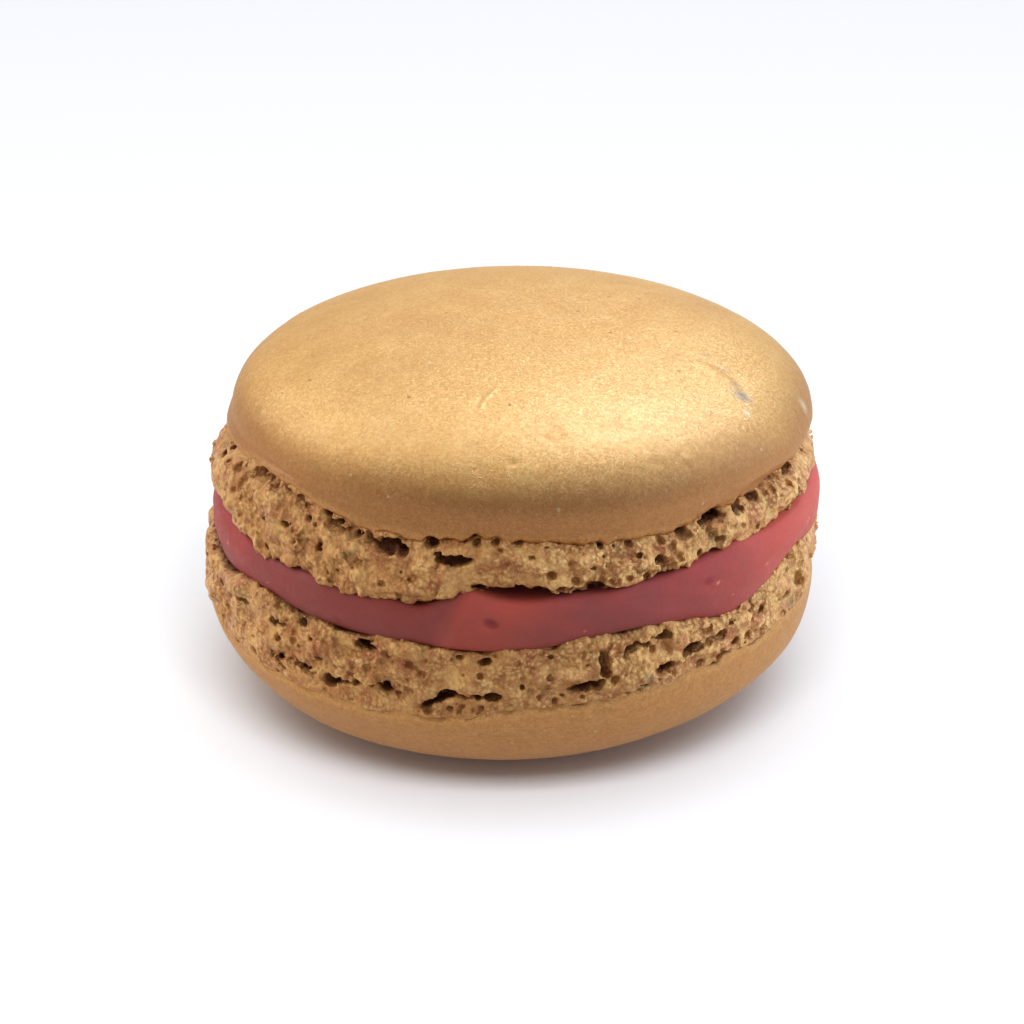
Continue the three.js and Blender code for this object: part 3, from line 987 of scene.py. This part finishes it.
def filling_piece(material):
    turn = np.linspace(0, 2 * np.pi, FILLING_TURNS, endpoint=False)[None, :]
    slope = np.linspace(-90, 90, FILLING_ROWS)[:, None]
    bulge = np.cos(np.radians(slope)) ** FILLING_SQUARENESS
    share = (slope / 90 + 1) / 2
    bottom = line_at(LOWER_RIM, turn) - FILLING_REACH
    _, direction, reach = FRONT_GAP
    lowered = FILLING_LOWERED * np.exp(-((turn_between(turn, direction) / reach) ** 4))
    top = line_at(UPPER_RIM, turn) + FILLING_REACH - lowered
    swell = around(turn - np.radians(FILLING_SWELL["lean"] * (share - 0.5)), SWELL_AROUND)
    edge_in, belly_in = FILLING_DRAWN_IN
    radius = mix(FILLING["edge"] - edge_in, FILLING["belly"] - belly_in, bulge)
    radius = radius + FILLING_SWELL["size"] * swell * bulge
    direction, height_share, half_width, half_height, depth = DIMPLE
    across = np.radians(turn_between(turn, direction)) * FILLING["belly"] / half_width
    off = (share - height_share) * (top - bottom) / half_height
    radius = radius - depth * np.exp(-(across ** 2 + off ** 2))
    x = radius * np.cos(turn) + FILLING["shift"]
    y = radius * np.sin(turn)
    z = mix(bottom, top, share)
    uneven = layered_noise((x, y, z), FILLING_UNEVENNESS, 61)
    x = x + uneven * bulge * np.cos(turn)
    y = y + uneven * bulge * np.sin(turn)
    points = np.stack([x, y, z], axis=-1)
    # Painted light: brighter red on the bulge and round the right-hand side; painted shade: duller at the
    # front left
    painted_light = 0.7 * swell ** 2 + around(turn, LIT_AROUND)
    shade = np.clip(0.5 + 0.5 * painted_light - 0.5 * around(turn, SHADED_AROUND), 0, 1) + 0 * bulge
    specks = np.maximum(filling_specks(points), filling_marks(turn, share, top - bottom, FILLING_CRUMBS))
    stains = filling_marks(turn, share, top - bottom, FILLING_STAINS)
    masks = {"painted_light": shade, "speck": specks, "stain": stains}
    masks = {name: with_poles(values, 0, 0) for name, values in masks.items()}
    poles = [[FILLING["shift"], 0, points[row, :, 2].mean()] for row in (0, -1)]
    points = with_poles(points, *poles)
    return make_piece("macaron_filling", points, capped(FILLING_ROWS, FILLING_TURNS), material, masks)


def filling_marks(turn, share, height, places):
    """A mask that is 1 at each place and fades out over its reach."""
    mask = 0 * turn + 0 * share
    for direction, height_share, reach in places:
        across = np.radians(turn_between(turn, direction)) * FILLING["belly"] / MARK_STRETCH
        off = (share - height_share) * height
        mask = np.maximum(mask, np.exp(-((np.hypot(across, off) / reach) ** 6)))
    return mask


def filling_specks(points):
    """Seeded light crumbs stuck to the filling, away from the front."""
    draw = np.random.default_rng(71)
    mask = np.zeros(points.shape[:2])
    radius = FILLING["belly"]
    for _ in range(FILLING_SPECKS["count"]):
        direction = math.radians(mix(*FILLING_SPECKS["directions"], draw.random()))
        height = mix(LOWER_RIM["mean"] + 0.2, UPPER_RIM["mean"], draw.random())
        centre = np.array([radius * math.cos(direction), radius * math.sin(direction)])
        size = mix(*FILLING_SPECKS["reach"], draw.random())
        away = np.hypot(points[..., 0] - centre[0] - FILLING["shift"], points[..., 1] - centre[1])
        away = np.hypot(away, points[..., 2] - height)
        mask = np.maximum(mask, np.exp(-(away / size) ** 4))
    return mask


# Shared shader groups

WHITE = (1.0, 1.0, 1.0, 1.0)
BLACK = (0.0, 0.0, 0.0, 1.0)


def screen(red, green, blue):
    """A colour seen on a screen, from 0 to 255, as the linear numbers that shaders use."""
    linear = []
    for value in (red, green, blue):
        value = value / 255
        linear.append(value / 12.92 if value <= 0.04045 else ((value + 0.055) / 1.055) ** 2.4)
    return (*linear, 1.0)


def add_node(tree, kind, inputs=(), **settings):
    node = tree.nodes.new(kind)
    for setting, value in settings.items():
        setattr(node, setting, value)
    for socket, value in dict(inputs).items():
        if isinstance(value, bpy.types.NodeSocket):
            tree.links.new(value, node.inputs[socket])
        else:
            node.inputs[socket].default_value = value
    return node


def new_group(name, inputs, outputs):
    """An empty shader group with number, colour or vector sockets, and its two end nodes."""
    group = bpy.data.node_groups.new(name, "ShaderNodeTree")
    kinds = {float: "NodeSocketFloat", tuple: "NodeSocketColor", Vector: "NodeSocketVector"}
    for socket, value in inputs.items():
        made = group.interface.new_socket(socket, in_out="INPUT", socket_type=kinds[type(value)])
        made.default_value = value
    for socket, kind in outputs.items():
        group.interface.new_socket(socket, in_out="OUTPUT", socket_type=kinds[kind])
    return group, group.nodes.new("NodeGroupInput").outputs, group.nodes.new("NodeGroupOutput").inputs


def math_node(tree, operation, a, b=0.0, clamp=False):
    made = add_node(tree, "ShaderNodeMath", {0: a, 1: b}, operation=operation)
    made.use_clamp = clamp
    return made.outputs[0]


def vector_node(tree, operation, inputs):
    return add_node(tree, "ShaderNodeVectorMath", inputs, operation=operation).outputs[0]


def mix_values(tree, share, a, b):
    return add_node(tree, "ShaderNodeMix", {0: share, 2: a, 3: b}).outputs[0]


def object_place(tree):
    return tree.nodes.new("ShaderNodeTexCoord").outputs["Object"]


def noise_node(tree, scale, detail=2.0, roughness=0.5):
    values = {"Vector": object_place(tree), "Scale": scale, "Detail": detail, "Roughness": roughness}
    return add_node(tree, "ShaderNodeTexNoise", values).outputs["Fac"]


def few_cells(tree, density, rarity, **settings):
    """Distance from the middle of the nearest cell, and 1 in the few cells that rarity lets through."""
    values = {"Vector": object_place(tree), "Scale": density}
    cells = add_node(tree, "ShaderNodeTexVoronoi", values, **settings).outputs
    chance = add_node(tree, "ShaderNodeSeparateColor", {"Color": cells["Color"]}).outputs["Red"]
    return cells["Distance"], math_node(tree, "GREATER_THAN", chance, rarity)


def stretch(tree, value, low, high):
    """Spreads the part of a value between low and high over 0 to 1."""
    values = {"Value": value, "From Min": low, "From Max": high}
    return add_node(tree, "ShaderNodeMapRange", values, interpolation_type="SMOOTHSTEP").outputs["Result"]


def blend_colours(tree, share, a, b, kind="MIX"):
    inputs = {0: share, 6: a, 7: b}
    return add_node(tree, "ShaderNodeMix", inputs, data_type="RGBA", blend_type=kind).outputs[2]


def lay_over(tree, shade, mask, strength, colour, kind="MIX"):
    """Lays a colour over a shade where a mask is, up to a strength."""
    return blend_colours(tree, math_node(tree, "MULTIPLY", mask, strength), shade, colour, kind)


def make_grain_group():
    """Fine uneven grain: Height for a bump, and Shade between 0 and 1."""
    given_values = {"Fineness": 3000.0, "Coarseness": 900.0}
    group, given, result = new_group("Sugar grain", given_values, {"Height": float, "Shade": float})
    fine = noise_node(group, given["Fineness"], 3.0, 0.65)
    coarse = noise_node(group, given["Coarseness"], 3.0, 0.6)
    both = mix_values(group, 0.5, fine, coarse)
    group.links.new(both, result["Height"])
    group.links.new(stretch(group, both, 0.35, 0.65), result["Shade"])
    return group


def make_fleck_group():
    """Flecks of mica or sugar. Density is per metre. Mask is 1 in the middle of the few cells that
    Rarity lets through, out to Size."""
    given_values = {"Density": 1500.0, "Rarity": 0.9, "Size": 0.25}
    group, given, result = new_group("Flecks", given_values, {"Mask": float})
    distance, chosen = few_cells(group, given["Density"], given["Rarity"])
    close = math_node(group, "LESS_THAN", distance, given["Size"])
    group.links.new(math_node(group, "MULTIPLY", chosen, close), result["Mask"])
    return group


def make_mica_group():
    """Flakes of gold dust, each tilted its own way: a Normal, and a random Shade for each flake."""
    given_values = {"Density": 7500.0, "Tilt": 0.3}
    group, given, result = new_group("Mica", given_values, {"Normal": Vector, "Shade": float})
    values = {"Vector": object_place(group), "Scale": given["Density"]}
    cells = add_node(group, "ShaderNodeTexVoronoi", values).outputs["Color"]
    lean = vector_node(group, "SUBTRACT", {0: cells, 1: (0.5, 0.5, 0.5)})
    lean = vector_node(group, "SCALE", {0: lean, 3: given["Tilt"]})
    upright = group.nodes.new("ShaderNodeNewGeometry").outputs["Normal"]
    turned = vector_node(group, "NORMALIZE", {0: vector_node(group, "ADD", {0: upright, 1: lean})})
    shade = add_node(group, "ShaderNodeSeparateColor", {"Color": cells}).outputs["Green"]
    group.links.new(turned, result["Normal"])
    group.links.new(shade, result["Shade"])
    return group


def make_hairline_group():
    """Thin wandering lines, as a dry brush leaves them. Mask is 1 on a line."""
    group, given, result = new_group("Hairlines", {"Spacing": 700.0, "Width": 0.02}, {"Mask": float})
    values = {"Vector": object_place(group), "Scale": given["Spacing"], "Detail": 1.0, "Distortion": 2.5}
    wander = add_node(group, "ShaderNodeTexNoise", values).outputs["Fac"]
    off = math_node(group, "ABSOLUTE", math_node(group, "SUBTRACT", wander, 0.5))
    line = math_node(group, "SUBTRACT", 1.0, math_node(group, "DIVIDE", off, given["Width"], clamp=True))
    patches = stretch(group, noise_node(group, 260.0), 0.45, 0.65)
    group.links.new(math_node(group, "MULTIPLY", line, patches), result["Mask"])
    return group


def make_pinhole_group():
    """Scattered pinholes, placed in plan. Density is per metre. Mask is 1 in the middle of a pinhole."""
    group, given, result = new_group("Pinholes", {"Density": 420.0, "Rarity": 0.92}, {"Mask": float})
    distance, chosen = few_cells(group, given["Density"], given["Rarity"], voronoi_dimensions="2D")
    close = math_node(group, "SUBTRACT", 1.0, stretch(group, distance, 0.03, 0.08))
    group.links.new(math_node(group, "MULTIPLY", chosen, close), result["Mask"])
    return group


def make_mottle_group():
    """Two colours in soft uneven patches."""
    given_values = {"Colour A": WHITE, "Colour B": BLACK, "Patches": 300.0, "Sharpness": 0.15}
    group, given, result = new_group("Mottle", given_values, {"Colour": tuple})
    patches = noise_node(group, given["Patches"], 4.0, 0.6)
    low = math_node(group, "SUBTRACT", 0.5, given["Sharpness"])
    high = math_node(group, "ADD", 0.5, given["Sharpness"])
    share = stretch(group, patches, low, high)
    group.links.new(blend_colours(group, share, given["Colour A"], given["Colour B"]), result["Colour"])
    return group


def place_group(tree, group, **values):
    named = {name.replace("_", " "): value for name, value in values.items()}
    return add_node(tree, "ShaderNodeGroup", named, node_tree=group).outputs


def mask_of(tree, name):
    return add_node(tree, "ShaderNodeAttribute", attribute_name=name).outputs["Fac"]


def new_material(name, **constants):
    """A material with one principled shader, whose constants sit on its own sockets."""
    material = bpy.data.materials.new(name)
    material.use_nodes = True
    tree = material.node_tree
    shader = tree.nodes["Principled BSDF"]
    for socket, value in constants.items():
        shader.inputs[socket.replace("_", " ")].default_value = value
    return material, tree, shader


def set_roughness(tree, shader, value, low, high):
    """Roughness from low to high as a value goes from 0 to 1."""
    values = {"Value": value, "To Min": low, "To Max": high}
    rough = add_node(tree, "ShaderNodeMapRange", values).outputs["Result"]
    tree.links.new(rough, shader.inputs["Roughness"])


def bump(tree, height, strength, distance, under=None):
    values = {"Height": height, "Strength": strength, "Distance": distance}
    if under is not None:
        values["Normal"] = under
    return add_node(tree, "ShaderNodeBump", values).outputs["Normal"]


# Materials

GOLD_LIGHT = screen(236, 188, 113)
GOLD_DEEP = screen(226, 174, 99)
GOLD_EDGE = screen(200, 152, 94)
GOLD_GLANCE = screen(235, 200, 150)
SHELL_BROWN_AND_SHADE = screen(178, 121, 72)
SMUDGE_GREY = screen(120, 125, 118)
PALE_SUGAR = screen(235, 215, 170)
CRUMB_TIP_HIGHLIGHT = screen(240, 204, 140)
CRUMB_LIGHT = screen(222, 168, 98)
CRUMB_TAN = screen(190, 130, 72)
CRUMB_RUST = screen(172, 92, 54)
CRUMB_OLIVE = screen(128, 112, 76)
CRUMB_DEEP_SHADE = screen(80, 30, 18)
CREVICE_PAINTED_SHADE = screen(160, 104, 62)
GOLD_DUST = screen(238, 196, 120)
FRUIT_RED = screen(152, 58, 49)
FRUIT_DULL_AND_SHADE = screen(128, 58, 51)
FRUIT_LIT = screen(180, 75, 55)
FRUIT_SPECK = screen(220, 140, 112)
FRUIT_STAIN = screen(116, 30, 34)


def gold_lustre(grain, fleck, mottle, mica, hairline, pinhole):
    material, tree, shader = new_material(
        "gold_lustre", Metallic=0.65, IOR=1.45, Specular_Tint=GOLD_GLANCE, Coat_Weight=0.3, Coat_Roughness=0.4
    )
    colours = {"Colour_A": GOLD_DEEP, "Colour_B": GOLD_LIGHT}
    patches = place_group(tree, mottle, **colours, Patches=420.0, Sharpness=0.35)["Colour"]
    sugar = place_group(tree, grain, Fineness=9000.0, Coarseness=3000.0)
    flakes = place_group(tree, mica, Density=9000.0, Tilt=0.26)
    speckle = mix_values(tree, 0.5, sugar["Shade"], flakes["Shade"])
    # Brown on the sides: thin gold dust there, and painted shade low on the dome and on the lower skin
    side = mask_of(tree, "side")
    thin_dust_and_shade = stretch(tree, mix_values(tree, 0.25, side, noise_node(tree, 1500.0, 3.0, 0.7)), 0.1, 0.8)
    shade = lay_over(tree, patches, thin_dust_and_shade, 0.85, SHELL_BROWN_AND_SHADE)
    torn = mix_values(tree, 0.4, mask_of(tree, "edge"), noise_node(tree, 1300.0, 4.0, 0.7))
    torn = stretch(tree, torn, 0.5, 0.75)
    shade = lay_over(tree, shade, torn, 0.4, CRUMB_LIGHT)
    shade = lay_over(tree, shade, speckle, 0.5, GOLD_EDGE, "MULTIPLY")
    hair = place_group(tree, hairline, Spacing=650.0, Width=0.025)["Mask"]
    shade = lay_over(tree, shade, hair, 0.1, PALE_SUGAR)
    on_top = math_node(tree, "SUBTRACT", 1.0, side)
    pin = place_group(tree, pinhole, Density=420.0, Rarity=0.92)["Mask"]
    pin = math_node(tree, "MULTIPLY", pin, math_node(tree, "MULTIPLY", on_top, on_top))
    shade = lay_over(tree, shade, pin, 0.6, CRUMB_RUST)
    # Painted shade in the sunken creases and pits
    shade = lay_over(tree, shade, mask_of(tree, "sunk_shade"), 0.5, CRUMB_TAN)
    shade = lay_over(tree, shade, mask_of(tree, "smudge"), 0.7, SMUDGE_GREY)
    shade = lay_over(tree, shade, mask_of(tree, "pale"), 0.6, PALE_SUGAR)
    bright = place_group(tree, fleck, Density=1900.0, Rarity=0.985, Size=0.24)["Mask"]
    shade = lay_over(tree, shade, bright, 0.3, PALE_SUGAR)
    tree.links.new(shade, shader.inputs["Base Color"])
    set_roughness(tree, shader, speckle, 0.38, 0.56)
    raised = math_node(tree, "ADD", sugar["Height"], math_node(tree, "MULTIPLY", hair, 0.6))
    raised = math_node(tree, "SUBTRACT", raised, math_node(tree, "MULTIPLY", pin, 2.0))
    grit = math_node(tree, "MULTIPLY", torn, noise_node(tree, 2600.0, 3.0, 0.6))
    raised = math_node(tree, "ADD", raised, math_node(tree, "MULTIPLY", grit, 2.0))
    tree.links.new(bump(tree, raised, 0.5, 0.00006, flakes["Normal"]), shader.inputs["Normal"])
    return material


GRANULES_PER_METRE = 2900.0


def granule_distance(tree, density):
    """Distance from the middle of the nearest granule of dried foam, with the granules pushed about."""
    place = object_place(tree)
    values = {"Vector": place, "Scale": density * 0.4, "Detail": 3.0}
    push = add_node(tree, "ShaderNodeTexNoise", values).outputs["Color"]
    moved = vector_node(tree, "ADD", {0: place, 1: vector_node(tree, "SCALE", {0: push, 3: 1.6 / density})})
    return add_node(tree, "ShaderNodeTexVoronoi", {"Vector": moved, "Scale": density}).outputs["Distance"]


def gilded_crumb(grain, fleck, mottle, mica):
    material, tree, shader = new_material("gilded_crumb", Metallic=0.3, IOR=1.45)
    colours = {"Colour_A": CRUMB_TAN, "Colour_B": CRUMB_LIGHT}
    patches = place_group(tree, mottle, **colours, Patches=900.0, Sharpness=0.12)["Colour"]
    rust = stretch(tree, noise_node(tree, 520.0, 4.0, 0.65), 0.52, 0.66)
    shade = lay_over(tree, patches, rust, 0.6, CRUMB_RUST)
    # Painted shade: darker tan on the crumb next to the skin's edge
    shade = lay_over(tree, shade, mask_of(tree, "shade_by_skin"), 0.5, CRUMB_TAN)
    olive = stretch(tree, noise_node(tree, 330.0, 3.0, 0.6), 0.62, 0.74)
    shade = lay_over(tree, shade, olive, 0.5, CRUMB_OLIVE)
    sugar = place_group(tree, grain, Fineness=4800.0, Coarseness=1900.0)
    granules = granule_distance(tree, GRANULES_PER_METRE)
    crusty = stretch(tree, noise_node(tree, 420.0, 3.0, 0.6), 0.38, 0.62)
    # Painted shade in the gaps between granules, stronger where the crumb is crusty
    shaded_gaps = stretch(tree, granules, 0.35, 0.75)
    shade = lay_over(tree, shade, shaded_gaps, mix_values(tree, crusty, 0.1, 0.5), CREVICE_PAINTED_SHADE, "MULTIPLY")
    # Painted highlight: paler on the tops of the granules
    lit_tips = math_node(tree, "SUBTRACT", 1.0, stretch(tree, granules, 0.05, 0.45))
    shade = lay_over(tree, shade, lit_tips, mix_values(tree, crusty, 0.05, 0.4), CRUMB_TIP_HIGHLIGHT)
    # Holes and hollows: brown crumb without gold dust, darkened to near black by painted shade
    deep_shade = stretch(tree, mask_of(tree, "recess"), 0.16, 0.8)
    shade = lay_over(tree, shade, deep_shade, 0.9, CRUMB_DEEP_SHADE)
    bright = place_group(tree, fleck, Density=4200.0, Rarity=0.9, Size=0.3)["Mask"]
    shade = lay_over(tree, shade, bright, 0.4, GOLD_DUST)
    tree.links.new(shade, shader.inputs["Base Color"])
    set_roughness(tree, shader, sugar["Shade"], 0.34, 0.6)
    flakes = place_group(tree, mica, Density=5000.0, Tilt=0.45)
    sunk = math_node(tree, "MULTIPLY", granules, mix_values(tree, crusty, 0.2, 0.6))
    lumpy = math_node(tree, "SUBTRACT", sugar["Height"], sunk)
    tree.links.new(bump(tree, lumpy, 1.0, 0.00022, flakes["Normal"]), shader.inputs["Normal"])
    return material


def fruit_filling(grain, mottle):
    material, tree, shader = new_material("fruit_filling", IOR=1.45, Subsurface_Weight=0.18)
    shader.inputs["Subsurface Radius"].default_value = (1.0, 0.35, 0.25)
    shader.inputs["Subsurface Scale"].default_value = MM
    colours = {"Colour_A": FRUIT_DULL_AND_SHADE, "Colour_B": FRUIT_RED}
    body = place_group(tree, mottle, **colours, Patches=260.0, Sharpness=0.3)["Colour"]
    # Painted light: brighter red on the bulge and the right-hand side; painted shade: duller and darker at
    # the front left
    painted_light = mask_of(tree, "painted_light")
    shade = lay_over(tree, body, stretch(tree, painted_light, 0.4, 1.0), 0.6, FRUIT_LIT)
    shaded_front = math_node(tree, "SUBTRACT", 1.0, stretch(tree, painted_light, 0.0, 0.5))
    shade = lay_over(tree, shade, shaded_front, 0.7, FRUIT_DULL_AND_SHADE)
    shade = lay_over(tree, shade, mask_of(tree, "stain"), 0.6, FRUIT_STAIN)
    shade = lay_over(tree, shade, mask_of(tree, "speck"), 0.6, FRUIT_SPECK)
    tree.links.new(shade, shader.inputs["Base Color"])
    smear = place_group(tree, grain, Fineness=3500.0, Coarseness=900.0)
    set_roughness(tree, shader, smear["Shade"], 0.56, 0.72)
    tree.links.new(bump(tree, smear["Height"], 0.4, 0.00008), shader.inputs["Normal"])
    return material


# Camera, floor and lights

CAMERA = {"elevation": 24.0, "distance": 280.0, "target": 14.6, "focus_px": 3794.0, "image_px": 1024.0}
SENSOR = 36.0


def make_camera():
    data = bpy.data.cameras.new("camera")
    data.sensor_width = SENSOR
    data.lens = CAMERA["focus_px"] / CAMERA["image_px"] * SENSOR
    data.clip_start = 0.01
    camera = bpy.data.objects.new("camera", data)
    tilt = math.radians(CAMERA["elevation"])
    reach = CAMERA["distance"] * MM
    camera.location = (0, -reach * math.cos(tilt), CAMERA["target"] * MM + reach * math.sin(tilt))
    camera.rotation_euler = (math.radians(90) - tilt, 0, 0)
    bpy.context.collection.objects.link(camera)
    bpy.context.scene.camera = camera


TABLE_SIZE = 3.0  # metres from its middle to each side
TABLE_WHITE = 0.56  # how much light the table gives back to the macaron's soft colours
TABLE_MIRRORED = (0.5, 0.95)  # how much to its mirroring, in front of the macaron and behind it
TABLE_FRONT = (-0.08, 0.01)  # the places along Y between which that changes
TABLE_SEEN = 1.0  # how white it looks itself, so that it just burns out, as in a studio


def make_floor():
    mesh = bpy.data.meshes.new("floor")
    corners = [(TABLE_SIZE * x, TABLE_SIZE * y, 0) for x, y in ((-1, -1), (1, -1), (1, 1), (-1, 1))]
    mesh.from_pydata(corners, [], [(0, 1, 2, 3)])
    material = bpy.data.materials.new("white_table")
    material.use_nodes = True
    tree = material.node_tree
    tree.nodes.remove(tree.nodes["Principled BSDF"])
    path = tree.nodes.new("ShaderNodeLightPath").outputs
    back = add_node(tree, "ShaderNodeSeparateXYZ", {"Vector": object_place(tree)}).outputs["Y"]
    mirrored = mix_values(tree, stretch(tree, back, *TABLE_FRONT), *TABLE_MIRRORED)
    white = mix_values(tree, path["Is Glossy Ray"], TABLE_WHITE, mirrored)
    white = mix_values(tree, path["Is Camera Ray"], white, TABLE_SEEN)
    surface = add_node(tree, "ShaderNodeBsdfDiffuse", {"Color": white})
    tree.links.new(surface.outputs["BSDF"], tree.nodes["Material Output"].inputs["Surface"])
    mesh.materials.append(material)
    floor = bpy.data.objects.new("floor", mesh)
    bpy.context.collection.objects.link(floor)
    return floor


LAMP_DISTANCE = 0.6


def softbox(name, side, height, size, power, lit, mirrored=True, tint=(1.0, 1.0, 1.0)):
    """An oblong lamp that faces the macaron and shines on the lit objects alone. Side is degrees to the
    right of the camera's side, and size is how wide and how tall. One that isn't mirrored only fills
    shadows."""
    data = bpy.data.lights.new(name, "AREA")
    data.shape = "RECTANGLE"
    data.size, data.size_y = size
    data.energy = power
    data.color = tint
    lamp = bpy.data.objects.new(name, data)
    lamp.visible_glossy = mirrored
    receivers = bpy.data.collections.new(name + "_lights")
    for thing in lit:
        receivers.objects.link(thing)
    lamp.light_linking.receiver_collection = receivers
    turn = math.radians(side)
    lift = math.radians(height)
    towards = Vector((math.sin(turn) * math.cos(lift), -math.cos(turn) * math.cos(lift), math.sin(lift)))
    lamp.location = towards * LAMP_DISTANCE + Vector((0, 0, CAMERA["target"] * MM))
    lamp.rotation_euler = towards.to_track_quat("Z", "Y").to_euler()
    bpy.context.collection.objects.link(lamp)


ROOM_SOFT = 0.47  # strength of the room's even light on everything
ROOM_DARK = 0.12  # strength of what the gold mirrors of it in front of the macaron
ROOM_LIGHT = 0.755  # and behind the macaron
ROOM_TURN = (-0.95, 0.3)  # the directions, as their Y, between which that changes
# Its shares towards the sides: from where to where along X, and the share at each
ROOM_LEFT = (-0.6, 0.15, 0.78, 1.01)
ROOM_RIGHT = (0.2, 0.45, 1.0, 0.76)
ROOM_RIGHT_END = (0.5, 0.9, 1.0, 1.45)
ROOM_COOL = (0.86, 1.0, 1.22, 1.0)  # its tint on the right
ROOM_COOL_FROM_TO = (0.2, 0.7)  # where along X that sets in


def make_world():
    """A white room. In reflections it is darker in front, and dimmer to the left and right."""
    world = bpy.data.worlds.new("studio")
    bpy.context.scene.world = world
    world.use_nodes = True
    tree = world.node_tree
    place = tree.nodes.new("ShaderNodeTexCoord").outputs["Generated"]
    towards = add_node(tree, "ShaderNodeSeparateXYZ", {"Vector": place}).outputs
    mirrored = mix_values(tree, stretch(tree, towards["Y"], *ROOM_TURN), ROOM_DARK, ROOM_LIGHT)
    for start, end, *shares in (ROOM_LEFT, ROOM_RIGHT, ROOM_RIGHT_END):
        sides = mix_values(tree, stretch(tree, towards["X"], start, end), *shares)
        mirrored = math_node(tree, "MULTIPLY", mirrored, sides)
    glossy = tree.nodes.new("ShaderNodeLightPath").outputs["Is Glossy Ray"]
    strength = mix_values(tree, glossy, ROOM_SOFT, mirrored)
    cool = stretch(tree, towards["X"], *ROOM_COOL_FROM_TO)
    background = tree.nodes["Background"]
    tree.links.new(blend_colours(tree, cool, WHITE, ROOM_COOL), background.inputs["Color"])
    tree.links.new(strength, background.inputs["Strength"])


# The scene

bpy.context.scene.view_settings.view_transform = "Standard"
make_camera()
make_world()
floor = make_floor()

grain = make_grain_group()
fleck = make_fleck_group()
mottle = make_mottle_group()
mica = make_mica_group()
hairline = make_hairline_group()
pinhole = make_pinhole_group()
gold = gold_lustre(grain, fleck, mottle, mica, hairline, pinhole)
crumb = gilded_crumb(grain, fleck, mottle, mica)
fruit = fruit_filling(grain, mottle)

upper_crumb_rim = {**UPPER_RIM, "spots": UPPER_RIM["spots"] + [FRONT_GAP]}
upper_foot = Foot(UPPER_FOOT, upper_crumb_rim, UPPER_SKIN_EDGE, 1, UPPER_HOLES, UPPER_CREVICES, 3)
lower_foot = Foot(LOWER_FOOT, LOWER_RIM, LOWER_SKIN_EDGE, -1, LOWER_HOLES, LOWER_CREVICES, 4)

made = [
    (upper_skin(gold), "upper_shell", "gold_shell"),
    (foot_piece("upper_foot", upper_foot, crumb), "upper_shell", "gold_shell"),
    (filling_piece(fruit), "filling", "filling"),
    (foot_piece("lower_foot", lower_foot, crumb), "lower_shell", "gold_shell"),
    (lower_skin(gold), "lower_shell", "gold_shell"),
]
for piece, node, slot in made:
    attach(piece, "root")
    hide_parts(node)

shown = [piece for piece, _, _ in made]
softbox("softbox_right", 147, 57, (0.36, 0.35), 1.42, shown, tint=(0.83, 1.1, 1.82))
softbox("softbox_left", -122, 45, (0.32, 0.5), 0.76, shown, tint=(0.92, 1.12, 1.5))
softbox("fill_right", 88, 28, (0.5, 0.5), 6.0, shown, mirrored=False, tint=(0.82, 1.06, 1.5))
softbox("fill_left", -88, 28, (0.5, 0.5), 3.1, shown, mirrored=False, tint=(0.95, 1.0, 1.08))
softbox("table_top", 0, 88, (1.0, 1.0), 1.7, [floor], mirrored=False, tint=(1.04, 1.0, 1.0))
softbox("table_wash", 3, 45, (0.3, 0.18), 2.5, [floor], mirrored=False, tint=(0.94, 1.0, 1.07))
